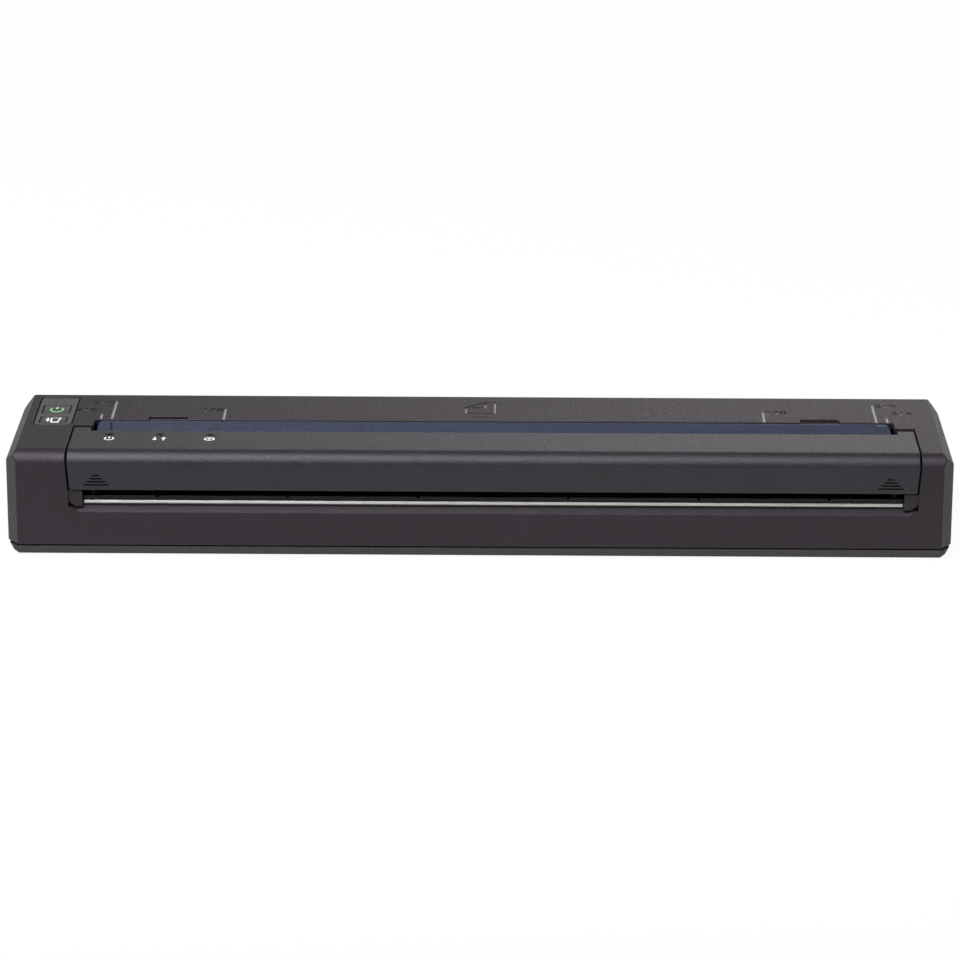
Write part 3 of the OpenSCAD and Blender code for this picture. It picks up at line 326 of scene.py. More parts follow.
def recipes(finish):
    """The maker, colour and other values of each material."""
    return {
        "casing_grain": (moulded, finish.casing, dict(
            roughness=0.44, sheen=finish.sheen, tint=(0.94, 0.86, 0.97))),
        "cover_grain": (moulded, finish.cover, dict(
            roughness=0.36, sheen=finish.sheen, tint=(0.93, 0.93, 1))),
        "base_grain": (moulded, finish.base, dict(
            roughness=0.5, sheen=finish.sheen, tint=(1, 0.9, 0.98))),
        "guide_grain": (moulded, finish.guide, dict(
            roughness=0.55, spread=0.3, sheen=finish.sheen / 2, tint=(0.8, 0.85, 1))),
        # Painted light: a lighter blue for the guide's upward faces
        "guide_rim": (moulded, shade(finish.guide, 1.1), dict(
            roughness=0.45, grain=0.4 * MM, depth=0.01 * MM, sheen=0.3)),
        "smooth_groove": (moulded, shade(finish.casing, 1.6), dict(
            roughness=0.16, grain=0.4 * MM, depth=0.004 * MM)),
        # Painted reflection: light grey for the engraved sheet lines
        "mark_line": (moulded, (0.20, 0.20, 0.19), dict(
            roughness=0.4, grain=0.3 * MM, depth=0.01 * MM, spread=0.06)),
        "panel_satin": (moulded, finish.panel, dict(
            roughness=0.42, grain=0.25 * MM, depth=0.01 * MM, spread=0.05)),
        "key_satin": (moulded, finish.keys, dict(
            roughness=0.42, grain=0.25 * MM, depth=0.01 * MM, spread=0.05)),
        # Painted shade: near-black, for the grip grooves, the base's tongue in the seam and the
        # panel's outline
        "dark_groove": (moulded, (0.008, 0.008, 0.009), dict(
            roughness=0.7, grain=0.25 * MM, depth=0.02 * MM, sheen=0.1)),
        "slot_black": (moulded, (0.006, 0.006, 0.007), dict(
            roughness=0.4, grain=0.5 * MM, depth=0.01 * MM, sheen=0.25)),
        "flag_black": (moulded, (0.004, 0.004, 0.004), dict(
            roughness=0.9, grain=20 * MM, depth=0.1 * MM, sheen=0)),
        "white_ink": (moulded, (0.80, 0.80, 0.80), dict(
            roughness=0.5, grain=0.2 * MM, depth=0.004 * MM, spread=0.05)),
        "green_ink": (moulded, (0.19, 0.50, 0.19), dict(
            roughness=0.45, grain=0.2 * MM, depth=0.004 * MM, spread=0.05)),
        "bar_steel": (metal, (0.66, 0.65, 0.61), dict(roughness=0.26, brush=(1, 40, 40))),
        # Painted shade: darker steels for the tear bar's sloping and upward faces
        "bar_bevel": (metal, (0.34, 0.34, 0.33), dict(roughness=0.5, brush=(1, 40, 40))),
        "bar_edge": (metal, (0.10, 0.11, 0.13), dict(roughness=0.45, brush=(1, 40, 40))),
        "zinc_sheet": (metal, (0.55, 0.56, 0.58), dict(roughness=0.34, brush=(4, 9, 9))),
        "ground_steel": (metal, (0.62, 0.62, 0.63), dict(roughness=0.2, brush=(1, 60, 60))),
        "black_screw": (metal, (0.12, 0.12, 0.125), dict(roughness=0.36, brush=(8, 8, 8))),
        "nickel": (metal, (0.62, 0.61, 0.58), dict(roughness=0.24, brush=(3, 20, 20))),
        "brass": (metal, (0.78, 0.57, 0.24), dict(roughness=0.26, brush=(3, 20, 20))),
        "milled_aluminium": (metal, (0.70, 0.71, 0.73), dict(
            roughness=0.33, brush=(1, 30, 30))),
        "can_paint": (moulded, (0.24, 0.24, 0.25), dict(
            roughness=0.35, grain=0.5 * MM, depth=0.006 * MM, spread=0.05)),
        "roller_rubber": (moulded, (0.018, 0.018, 0.019), dict(
            roughness=0.75, grain=0.3 * MM, depth=0.02 * MM)),
        "foot_rubber": (moulded, (0.016, 0.016, 0.017), dict(
            roughness=0.8, grain=0.4 * MM, depth=0.04 * MM)),
        "gear_plastic": (moulded, (0.72, 0.70, 0.62), dict(
            roughness=0.4, grain=0.5 * MM, depth=0.006 * MM, spread=0.03)),
        "bush_plastic": (moulded, (0.60, 0.57, 0.48), dict(
            roughness=0.4, grain=0.4 * MM, depth=0.006 * MM, spread=0.04)),
        "ceramic": (moulded, (0.78, 0.77, 0.72), dict(
            roughness=0.25, grain=0.4 * MM, depth=0.003 * MM, spread=0.03)),
        "chip_resin": (moulded, (0.02, 0.02, 0.022), dict(
            roughness=0.3, grain=1.2 * MM, depth=0.03 * MM)),
        "black_plastic": (moulded, (0.014, 0.014, 0.015), dict(
            roughness=0.38, grain=0.4 * MM, depth=0.01 * MM)),
        "battery_wrap": (moulded, (0.035, 0.045, 0.085), dict(
            roughness=0.3, grain=2.0 * MM, depth=0.03 * MM, spread=0.04)),
        "lens_plastic": (moulded, (0.005, 0.005, 0.006), dict(
            roughness=0.6, grain=0.5 * MM, depth=0.002 * MM, spread=0.04, sheen=0)),
        "board_lacquer": (board, (0.015, 0.10, 0.035), {}),
        "cable_film": (striped, (0.55, 0.26, 0.07), dict(
            other=(0.30, 0.12, 0.03), pitch=0.5 * MM)),
    }


MATERIALS = {}


def material(name):
    """The material of that name, made at its first use."""
    if name not in MATERIALS:
        maker, colour, values = recipes(bpy.context.scene.printer_finish)[name]
        MATERIALS[name] = maker(name, colour, **values)
    return MATERIALS[name]


# ---------------------------------------------------------------- mesh tools


def add_object(name, mesh):
    """A new object in the scene."""
    obj = bpy.data.objects.new(name, mesh)
    bpy.context.scene.collection.objects.link(obj)
    return obj


def baked(obj):
    """obj with its modifiers worked into a plain mesh."""
    bpy.context.view_layer.update()
    graph = bpy.context.evaluated_depsgraph_get()
    mesh = bpy.data.meshes.new_from_object(obj.evaluated_get(graph), depsgraph=graph)
    obj.modifiers.clear()
    old = obj.data
    obj.data = mesh
    mesh.name = obj.name
    bpy.data.meshes.remove(old)
    return obj


def enlarge(mesh):
    """Millimetres as units, in which Blender's mesh tools keep fine edges apart."""
    mesh.transform(Matrix.Scale(1 / MM, 4))


def shrink(mesh):
    """Metres as units again."""
    mesh.transform(Matrix.Scale(MM, 4))


def around(*nodes):
    """Boxes a little larger than those of some CAD nodes."""
    grow = Vector((3, 6, 3)) * MM
    return [(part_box(node)[0] - grow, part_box(node)[1] + grow) for node in nodes]


def shell_from(node, name, edge, sharp=(), dihedral=18):
    """A moulding on a CAD node's form: welded, its flats made whole, its outer edges rounded.

    Only edges that turn by more than dihedral degrees are rounded. Edges inside one of the
    boxes of sharp, such as those of small holes, are left as they are.
    """
    weld, skin = 0.002, 0.03  # millimetres
    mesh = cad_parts[node].data.copy()
    mesh.name = name
    enlarge(mesh)
    bm = bmesh.new()
    bm.from_mesh(mesh)
    bmesh.ops.remove_doubles(bm, verts=bm.verts, dist=weld)
    hull = bm.copy()
    bmesh.ops.convex_hull(hull, input=hull.verts)
    outside = BVHTree.FromBMesh(hull)
    on_skin = {v: outside.find_nearest(v.co)[3] < skin for v in bm.verts}
    hull.free()
    flats = [e for e in bm.edges if all(on_skin[v] for f in e.link_faces for v in f.verts)]
    bmesh.ops.dissolve_limit(bm, angle_limit=math.radians(0.6), verts=[], edges=flats)
    weight = bm.edges.layers.float.new("bevel_weight_edge")
    for e in bm.edges:
        if len(e.link_faces) != 2 or math.degrees(e.calc_face_angle(0)) <= dihedral:
            continue
        spared = any(all(low[i] < v.co[i] * MM < high[i] for v in e.verts for i in range(3))
                     for low, high in sharp)
        if not spared and all(on_skin[v] for v in e.verts):
            e[weight] = 1.0
    for face in bm.faces:
        face.smooth = True
    bm.to_mesh(mesh)
    bm.free()
    obj = add_object(name, mesh)
    bevel = obj.modifiers.new("edges", "BEVEL")
    bevel.limit_method = "WEIGHT"
    bevel.width = edge / MM
    bevel.segments = 3
    bevel.use_clamp_overlap = False
    bevel.miter_outer = "MITER_SHARP"
    bevel.face_strength_mode = "FSTR_ALL"
    baked(obj)
    shrink(obj.data)
    return obj


def even_normals(obj):
    """Smooth shading that keeps the flats flat and the corners crisp."""
    bm = bmesh.new()
    bm.from_mesh(obj.data)
    for e in bm.edges:
        e.smooth = len(e.link_faces) == 2 and e.calc_face_angle(0) < CRISP
    bm.to_mesh(obj.data)
    bm.free()
    normals = obj.modifiers.new("normals", "WEIGHTED_NORMAL")
    normals.keep_sharp = True
    normals.use_face_influence = True
    baked(obj)


def carve(obj, cutter):
    """Cuts the solid cutter out of obj, and leaves its material on the cut."""
    finish = next(m for m in cutter.data.materials if m)
    slots = obj.data.materials
    if finish.name not in slots:
        slots.append(finish)
    cutter.data.materials.clear()
    for known in slots:
        cutter.data.materials.append(known)
    index = slots.find(finish.name)
    for face in cutter.data.polygons:
        face.material_index = index
    enlarge(obj.data)
    enlarge(cutter.data)
    boolean = obj.modifiers.new("carve", "BOOLEAN")
    boolean.operation = "DIFFERENCE"
    boolean.solver = "MANIFOLD"
    boolean.object = cutter
    baked(obj)
    shrink(obj.data)
    bpy.data.objects.remove(cutter)


def dress(obj, name):
    """One material on the whole of an object."""
    obj.data.materials.clear()
    obj.data.materials.append(material(name))


def paint(obj, name, chosen):
    """A second material on the faces that chosen(centre, normal) picks."""
    obj.data.materials.append(material(name))
    index = len(obj.data.materials) - 1
    for face in obj.data.polygons:
        if chosen(face.center, face.normal):
            face.material_index = index


def drape(obj, node, level):
    """Lays a flat sign, made at the height level, onto a CAD node from above."""
    longest, above = 0.45 * MM, 5 * MM
    bm = bmesh.new()
    bm.from_mesh(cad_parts[node].data)
    under = BVHTree.FromBMesh(bm)
    bm.free()
    bm = bmesh.new()
    bm.from_mesh(obj.data)
    bmesh.ops.triangulate(bm, faces=bm.faces)
    for _ in range(3):
        long = [e for e in bm.edges if e.calc_length() > longest]
        bmesh.ops.subdivide_edges(bm, edges=long, cuts=1)
        bmesh.ops.triangulate(bm, faces=bm.faces)
    bm.to_mesh(obj.data)
    bm.free()
    for v in obj.data.vertices:
        hit = under.ray_cast(Vector((v.co.x, v.co.y, level + above)), Vector((0, 0, -1)))[0]
        if hit is None:
            raise RuntimeError(f"{obj.name} reaches past {node}")
        v.co.z += hit.z - level


class Solids:
    """Closed prisms collected into one mesh."""

    def __init__(self):
        self.bm = bmesh.new()

    def prism(self, outline, low, high):
        """A prism on a closed outline of (x, y), from low to high."""
        area = sum(a[0] * b[1] - b[0] * a[1] for a, b in zip(outline, outline[1:] + outline[:1]))
        points = outline if area > 0 else outline[::-1]
        bottom = [self.bm.verts.new((x, y, low)) for x, y in points]
        top = [self.bm.verts.new((x, y, high)) for x, y in points]
        self.bm.faces.new(bottom[::-1])
        self.bm.faces.new(top)
        for i in range(len(points)):
            j = (i + 1) % len(points)
            self.bm.faces.new((bottom[i], bottom[j], top[j], top[i]))

    def stroke(self, points, width, low, high, closed=False):
        """A line of even width along points, with mitred corners."""
        count = len(points)
        sides = ([], [])
        for i, point in enumerate(points):
            here = Vector(point)
            ends = []
            if closed or i > 0:
                ends.append((here - Vector(points[i - 1])).normalized())
            if closed or i < count - 1:
                ends.append((Vector(points[(i + 1) % count]) - here).normalized())
            along = sum(ends, Vector((0, 0))).normalized()
            across = Vector((-along.y, along.x))
            reach = width / 2 / across.dot(Vector((-ends[0].y, ends[0].x)))
            sides[0].append(tuple(here + reach * across))
            sides[1].append(tuple(here - reach * across))
        if not closed:
            self.prism(sides[0] + sides[1][::-1], low, high)
            return
        rings = [[self.bm.verts.new((x, y, z)) for x, y in side]
                 for z in (low, high) for side in sides]
        for a, b in ((0, 1), (1, 3), (3, 2), (2, 0)):
            for i in range(count):
                j = (i + 1) % count
                self.bm.faces.new((rings[a][i], rings[a][j], rings[b][j], rings[b][i]))

    def bar(self, a, b, width, low, high):
        """A bar with round ends between two points."""
        along = Vector(b) - Vector(a)
        turn = math.atan2(along.y, along.x)
        outline = []
        for end, start in ((b, -90), (a, 90)):
            for k in range(5):
                q = turn + math.radians(start + 45 * k)
                outline.append((end[0] + width / 2 * math.cos(q),
                                end[1] + width / 2 * math.sin(q)))
        self.prism(outline, low, high)

    def arc(self, centre, radius, width, start, end, low, high, steps=20):
        """Part of a ring, angles in degrees."""
        outline = []
        for r, sweep in ((radius + width / 2, range(steps + 1)),
                         (radius - width / 2, range(steps, -1, -1))):
            for k in sweep:
                q = math.radians(start + (end - start) * k / steps)
                outline.append((centre[0] + r * math.cos(q), centre[1] + r * math.sin(q)))
        self.prism(outline, low, high)

    def ring(self, centre, radius, width, low, high, steps=32):
        """A whole ring of even width."""
        points = [(centre[0] + radius * math.cos(k * math.tau / steps),
                   centre[1] + radius * math.sin(k * math.tau / steps)) for k in range(steps)]
        self.stroke(points, width, low, high, closed=True)

    def text(self, words, height, centre, low, high):
        """Plain figures, standing as tall as height, centred on a point."""
        figure_share = 0.7  # height of a figure in a font of size 1
        curve = bpy.data.curves.new("figures", "FONT")
        curve.body = words
        curve.size = height / figure_share
        curve.align_x = "CENTER"
        curve.align_y = "CENTER"
        curve.extrude = (high - low) / 2
        curve.resolution_u = 4
        obj = add_object("figures", curve)
        bpy.context.view_layer.update()
        mesh = bpy.data.meshes.new_from_object(obj)
        mesh.transform(Matrix.Translation((centre[0], centre[1], (low + high) / 2)))
        part = bmesh.new()
        part.from_mesh(mesh)
        bmesh.ops.remove_doubles(part, verts=part.verts, dist=1e-7)
        part.to_mesh(mesh)
        part.free()
        self.bm.from_mesh(mesh)
        bpy.data.objects.remove(obj)
        bpy.data.meshes.remove(mesh)

    def object(self, name, finish):
        """The solids as one object of one material."""
        bmesh.ops.recalc_face_normals(self.bm, faces=self.bm.faces)
        mesh = bpy.data.meshes.new(name)
        self.bm.to_mesh(mesh)
        self.bm.free()
        mesh.materials.append(material(finish))
        return add_object(name, mesh)


def finish_nodes(names, finish):
    """Gives CAD nodes that stay as they are a material."""
    for name in names:
        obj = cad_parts[name]
        if not obj.material_slots:
            raise RuntimeError(f"{name} has no material slot")
        for slot in obj.material_slots:
            slot.material = material(finish)


# ---------------------------------------------------------------- pieces


class PRINTER_OT_casing(bpy.types.Operator):
    """Main casing with its sheet marks, sizes and loading sign"""

    bl_idname = "printer.casing"
    bl_label = "Top Casing"

    def execute(self, context):
        marks = context.scene.printer_marks
        casing = shell_from("top_casing", "casing_shell", context.scene.printer_finish.edge,
                            sharp=around("exit_guide", "dc_socket", "usb_socket"))
        dress(casing, "casing_grain")
        low, high = TOP - marks.depth, TOP + 1 * MM
        start = SLOT_EDGE + 0.5 * MM
        # Each sheet's number, half width, end of its line, and the number's place beside it:
        # how far outwards and how far back
        sheets = (
            ("210", marks.a4 / 2, 18.7 * MM, 0.8 * MM, 17.6 * MM),
            ("216", marks.letter / 2, 7.2 * MM, 1.9 * MM, 11.0 * MM),
            ("148", marks.a5 / 2, 11.9 * MM, 0.8 * MM, 11.2 * MM),
        )
        lines, figures = Solids(), Solids()
        for number, half, end, step, row in sheets:
            for side in (-1, 1):
                x = PATH_MID + side * half
                lines.prism([(x - marks.line / 2, start), (x + marks.line / 2, start),
                             (x + marks.line / 2, end), (x - marks.line / 2, end)], low, high)
                shift = side * (step + 0.95 * marks.number)
                figures.text(number, marks.number, (x + shift, row), low, high)
        # Painted reflection: the engraved sheet lines are coloured light grey
        carve(casing, lines.object("mark_lines", "mark_line"))
        carve(casing, figures.object("mark_figures", "smooth_groove"))
        for part in self.loading_sign(low, high):
            carve(casing, part.object("loading_sign", "smooth_groove"))
        even_normals(casing)
        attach(casing, "body")
        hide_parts("top_casing")
        return {"FINISHED"}

    def loading_sign(self, low, high):
        """A sheet with a folded corner over an arc, as three cutters that don't cross."""
        pen = 0.5 * MM
        sheet, fold, arc = Solids(), Solids(), Solids()
        outline = [(-4, 9.3), (4, 9.4), (3.9, 19.7), (1.3, 19.7), (-4, 14.6)]
        crease = [(1.3, 18.6), (1.3, 14.4), (-2.6, 14.6)]
        sheet.stroke([(x * MM, y * MM) for x, y in outline], pen, low, high, closed=True)
        fold.stroke([(x * MM, y * MM) for x, y in crease], pen, low, high)
        arc.arc((0, 10.2 * MM), 4.4 * MM, pen, 242, 298, low, high)
        return sheet, fold, arc


def grip_tree(marks):
    """Geometry nodes that stack straight grooves, each wider than the one above."""
    tree = bpy.data.node_groups.new("grip_rows", "GeometryNodeTree")
    tree.interface.new_socket("Geometry", in_out="OUTPUT", socket_type="NodeSocketGeometry")
    for name, kind, value in (("Rows", "NodeSocketInt", marks.grip_rows),
                              ("Pitch", "NodeSocketFloat", marks.grip_pitch),
                              ("Groove", "NodeSocketFloat", 0.42 * MM),
                              ("Depth", "NodeSocketFloat", 0.8 * MM),
                              ("Step", "NodeSocketFloat", 1.72 * MM)):
        socket = tree.interface.new_socket(name, in_out="INPUT", socket_type=kind)
        socket.default_value = value
    finish = tree.interface.new_socket("Material", in_out="INPUT",
                                       socket_type="NodeSocketMaterial")
    n, link = tree.nodes, tree.links
    given = n.new("NodeGroupInput")
    out = n.new("NodeGroupOutput")
    line = n.new("GeometryNodeMeshLine")
    link.new(given.outputs["Rows"], line.inputs["Count"])
    down = n.new("ShaderNodeMath")
    down.operation = "MULTIPLY"
    down.inputs[1].default_value = -1
    link.new(given.outputs["Pitch"], down.inputs[0])
    offset = n.new("ShaderNodeCombineXYZ")
    link.new(down.outputs[0], offset.inputs["Z"])
    link.new(offset.outputs[0], line.inputs["Offset"])
    rod = n.new("GeometryNodeMeshCube")
    size = n.new("ShaderNodeCombineXYZ")
    link.new(given.outputs["Step"], size.inputs["X"])
    link.new(given.outputs["Depth"], size.inputs["Y"])
    link.new(given.outputs["Groove"], size.inputs["Z"])
    link.new(size.outputs[0], rod.inputs["Size"])
    copies = n.new("GeometryNodeInstanceOnPoints")
    link.new(line.outputs["Mesh"], copies.inputs["Points"])
    link.new(rod.outputs["Mesh"], copies.inputs["Instance"])
    index = n.new("GeometryNodeInputIndex")
    count = n.new("ShaderNodeMath")
    count.operation = "ADD"
    count.inputs[1].default_value = 1
    link.new(index.outputs[0], count.inputs[0])
    stretch = n.new("ShaderNodeCombineXYZ")
    stretch.inputs["Y"].default_value = 1
    stretch.inputs["Z"].default_value = 1
    link.new(count.outputs[0], stretch.inputs["X"])
    link.new(stretch.outputs[0], copies.inputs["Scale"])
    real = n.new("GeometryNodeRealizeInstances")
    link.new(copies.outputs[0], real.inputs[0])
    paint = n.new("GeometryNodeSetMaterial")
    link.new(real.outputs[0], paint.inputs["Geometry"])
    link.new(given.outputs["Material"], paint.inputs["Material"])
    link.new(paint.outputs[0], out.inputs["Geometry"])
    return tree, finish.identifier


class PRINTER_OT_cover(bpy.types.Operator):
    """Release cover with its two grip marks"""

    bl_idname = "printer.cover"
    bl_label = "Release Cover"

    def execute(self, context):
        marks = context.scene.printer_marks
        cover = shell_from("release_cover", "cover_shell", context.scene.printer_finish.edge,
                           sharp=around("light_windows"))
        dress(cover, "cover_grain")
        tree, finish_socket = grip_tree(marks)
        inset, drop = 7.8 * MM, 6.6 * MM
        for x in (COVER_LOW.x + inset, COVER_HIGH.x - inset):
            grooves = add_object("grip", bpy.data.meshes.new("grip"))
            modifier = grooves.modifiers.new("rows", "NODES")
            modifier.node_group = tree
            # Painted shade: the walls of the grooves take the near-black material
            modifier[finish_socket] = material("dark_groove")
            baked(grooves)
            grooves.data.transform(Matrix.Translation((x, FRONT, TOP - drop)))
            carve(cover, grooves)
        even_normals(cover)
        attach(cover, "release_cover")
        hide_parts("release_cover")
        return {"FINISHED"}


class PRINTER_OT_base(bpy.types.Operator):
    """Base tray"""

    bl_idname = "printer.base"
    bl_label = "Base Tray"

    def execute(self, context):
        base = shell_from("base_tray", "base_shell", context.scene.printer_finish.edge)
        dress(base, "base_grain")
        seam_gap = 0.45 * MM
        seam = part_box("top_casing")[0].z - seam_gap
        # Painted shade: the base's tongue, seen through the seam under the casing, is made
        # near-black
        paint(base, "dark_groove", lambda centre, normal: centre.z > seam)
        even_normals(base)
        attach(base, "body")
        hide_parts("base_tray")
        return {"FINISHED"}


class PRINTER_OT_door(bpy.types.Operator):
    """Battery door"""

    bl_idname = "printer.door"
    bl_label = "Battery Door"

    def execute(self, context):
        door = shell_from("battery_door", "door_shell", 0.15 * MM)
        dress(door, "base_grain")
        even_normals(door)
        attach(door, "battery_door")
        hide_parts("battery_door")
        return {"FINISHED"}


class PRINTER_OT_guide(bpy.types.Operator):
    """Blue guide behind the input slot"""

    bl_idname = "printer.guide"
    bl_label = "Paper Guide"

    def execute(self, context):
        low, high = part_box("paper_guide")
        half = context.scene.printer_marks.a4 / 2
        # The end steps meet the grooves of an A4 sheet in walls too thin to be rounded
        reach = 0.5 * MM
        notches = [(Vector((x - reach, low.y - MM, low.z - MM)),
                    Vector((x + reach, high.y + MM, high.z + MM)))
                   for x in (PATH_MID - half, PATH_MID + half)]
        guide = shell_from("paper_guide", "guide_strip", 0.12 * MM, sharp=notches)
        dress(guide, "guide_grain")
        # Painted light: the faces that look up get a slightly lighter copy of the blue
        paint(guide, "guide_rim", lambda centre, normal: normal.z > 0.9)
        even_normals(guide)
        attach(guide, "body")
        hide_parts("paper_guide")
        return {"FINISHED"}


class PRINTER_OT_keys(bpy.types.Operator):
    """Key panel, the two keys and their signs"""

    bl_idname = "printer.keys"
    bl_label = "Keys"

    def execute(self, context):
        panel = shell_from("key_panel", "panel_inlay", 0.4 * MM)
        dress(panel, "panel_satin")
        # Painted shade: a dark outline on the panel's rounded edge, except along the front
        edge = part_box("key_panel")[1].z - 0.02 * MM
        paint(panel, "dark_groove",
              lambda centre, normal: centre.z < edge and normal.z < 0.97 and normal.y > -0.5)
        self.lining(panel)
        even_normals(panel)
        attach(panel, "body")
        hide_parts("key_panel")
        for body in ("power_key", "feed_key"):
            key = shell_from(body, body + "_cap", 0.12 * MM)
            dress(key, "key_satin")
            even_normals(key)
            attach(key, body)
            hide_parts(body)
        self.power_sign()
        self.feed_sign()
        return {"FINISHED"}

    def power_sign(self):
        """A broken ring with a stroke, in green."""
        pen, stroke = 0.42 * MM, 0.6 * MM
        x, y = middle("power_key") + 0.1 * MM, middle("power_key", 1)
        ink = Solids()
        ink.arc((x, y - 0.55 * MM), 1.75 * MM, pen, 132, 408, INK_LOW, INK_HIGH)
        ink.bar((x, y - 0.1 * MM), (x, y + 2.1 * MM), stroke, INK_LOW, INK_HIGH)
        sign = ink.object("power_sign", "green_ink")
        drape(sign, "power_key", KEY_TOP)
        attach(sign, "power_key")

    def feed_sign(self):
        """A sheet with an arrow beside it, in white."""
        pen, shaft, tip = 0.4 * MM, 0.45 * MM, 0.6 * MM
        x, y = middle("feed_key") + 0.15 * MM, middle("feed_key", 1)
        ink = Solids()
        sheet = [(-0.6, -2.1), (1.2, -2.1), (1.9, 1.3), (-0.6, 1.3)]
        ink.stroke([(x + px * MM, y + py * MM) for px, py in sheet], pen,
                   INK_LOW, INK_HIGH, closed=True)
        arrow, neck = x - 1.6 * MM, y - 0.4 * MM
        ink.bar((arrow, y + 1.2 * MM), (arrow, neck), shaft, INK_LOW, INK_HIGH)
        ink.prism([(arrow - tip, neck), (arrow + tip, neck), (arrow, y - 1.9 * MM)],
                  INK_LOW, INK_HIGH)
        sign = ink.object("feed_sign", "white_ink")
        drape(sign, "feed_key", KEY_TOP)
        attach(sign, "feed_key")

    def lining(self, panel):
        """Soft lining in the gap round each key, as part of the panel."""
        gap, deep = 0.15 * MM, 0.8 * MM
        lining = Solids()
        for body in ("power_key", "feed_key"):
            points = [v.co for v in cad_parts[body].data.vertices]
            cap = [v for v in points if v.z > KEY_TOP - deep]
            left, right = min(v.x for v in cap) - gap / 2, max(v.x for v in cap) + gap / 2
            near, far = min(v.y for v in cap) - gap / 2, max(v.y for v in cap) + gap / 2
            lining.stroke([(left, near), (right, near), (right, far), (left, far)], gap * 0.9,
                          TOP - deep, TOP - 0.32 * MM, closed=True)
        lining.bm.from_mesh(panel.data)
        lining.bm.to_mesh(panel.data)
        lining.bm.free()


class PRINTER_OT_lights(bpy.types.Operator):
    """Indicator windows with a printed sign in front of each"""

    bl_idname = "printer.lights"
    bl_label = "Indicator Lights"

    def execute(self, context):
        finish_nodes(["light_windows"], "lens_plastic")
        low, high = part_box("light_windows")
        first, last = low.x + WINDOW_R, high.x - WINDOW_R
        row = (low.y + high.y) / 2
        y = row - 3.6 * MM
        pen = 0.42 * MM
        bottom, top = TOP - 0.02 * MM, TOP + 0.008 * MM
        ink = Solids()
        # Power: a broken ring with a stroke
        ink.arc((first, y), 1.2 * MM, pen, 128, 412, bottom, top)
        ink.bar((first, y + 0.3 * MM), (first, y + 1.45 * MM), pen, bottom, top)
        # Data: two arrows, one each way
        centre = (first + last) / 2
        for side in (-1, 1):
            x, neck = centre + side * 1.2 * MM, y + side * 0.2 * MM
            ink.bar((x, y - side * 1.25 * MM), (x, neck), pen, bottom, top)
            ink.prism([(x - 0.85 * MM, neck), (x + 0.85 * MM, neck),
                       (x, y + side * 1.35 * MM)], bottom, top)
        # Status: a dot in a ring
        ink.ring((last, y), 1.25 * MM, pen, bottom, top)
        dot = 0.5 * MM
        ink.prism([(last + dot * math.cos(k * math.pi / 8), y + dot * math.sin(k * math.pi / 8))
                   for k in range(16)], bottom, top)
        signs = ink.object("indicator_signs", "white_ink")
        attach(signs, "release_cover")
        rings = Solids()
        for x in (first, centre, last):
            rings.ring((x, row), WINDOW_R, 0.24 * MM, bottom, TOP + 0.004 * MM)
        rims = rings.object("window_rims", "lens_plastic")
        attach(rims, "release_cover")
        return {"FINISHED"}


class PRINTER_OT_exit(bpy.types.Operator):
    """Exit guide and tear bar"""

    bl_idname = "printer.exit"
    bl_label = "Exit Slot"

    def execute(self, context):
        low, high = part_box("tear_bar")
        half = (high.x - low.x) / 2 + 0.3 * MM
        # No edge of the exit guide turns so far, so none is rounded
        guide = shell_from("exit_guide", "exit_strip", 0.1 * MM, dihedral=181)
        dress(guide, "slot_black")
        # The cheeks beside the tear bar close the mouth in the casing's colour
        paint(guide, "casing_grain", lambda centre, normal: abs(centre.x - PATH_MID) > half)
        even_normals(guide)
        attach(guide, "body")
        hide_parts("exit_guide")
        bar = shell_from("tear_bar", "tear_strip", 0.05 * MM)
        dress(bar, "bar_steel")
        # Painted shade: sloping faces get a duller, darker steel and upward faces a dark bluish
        # steel
        paint(bar, "bar_bevel", lambda centre, normal: 0.2 < normal.z < 0.8)
        paint(bar, "bar_edge", lambda centre, normal: normal.z >= 0.8)
        even_normals(bar)
        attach(bar, "body")
        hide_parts("tear_bar")
        return {"FINISHED"}


class PRINTER_OT_mechanism(bpy.types.Operator):
    """Roller, print head, gears, boards, battery and fasteners"""

    bl_idname = "printer.mechanism"
    bl_label = "Mechanism"

    def execute(self, context):
        finishes = {
            "zinc_sheet": ["chassis", "roller_bracket"],
            "ground_steel": ["platen_shaft", "hinge_pins", "gear_axles", "motor_shaft",
                             "head_springs"],
            "black_screw": ["bracket_screws", "motor_screws", "case_screws", "axle_clips"],
            "roller_rubber": ["platen_rubber"],
            "foot_rubber": ["rubber_feet"],
            "gear_plastic": ["platen_gear", "idler_gear", "reduction_gear"],
            "bush_plastic": ["platen_bushes"],
            "brass": ["motor_pinion", "battery_contacts"],
            "ceramic": ["head_substrate"],
            "milled_aluminium": ["head_plate"],
            "chip_resin": ["head_chip_cover"],
            "cable_film": ["head_cable"],
            "can_paint": ["motor"],
            "board_lacquer": ["main_board", "key_board", "indicator_board"],
            "black_plastic": ["board_parts", "key_switches", "dc_socket", "paper_sensor"],
            "nickel": ["usb_socket"],
            "battery_wrap": ["battery_pack"],
        }
        for finish, names in finishes.items():
            finish_nodes(names, finish)
        return {"FINISHED"}


# ---------------------------------------------------------------- stage


def seen_or_reflected(tree):
    """1 for camera, glossy and transmission rays, 0 for the rest."""
    path = tree.nodes.new("ShaderNodeLightPath")
    total = path.outputs["Is Camera Ray"]
    for name in ("Is Glossy Ray", "Is Transmission Ray"):
        either = tree.nodes.new("ShaderNodeMath")
        either.operation = "MAXIMUM"
        tree.links.new(total, either.inputs[0])
        tree.links.new(path.outputs[name], either.inputs[1])
        total = either.outputs[0]
    return total


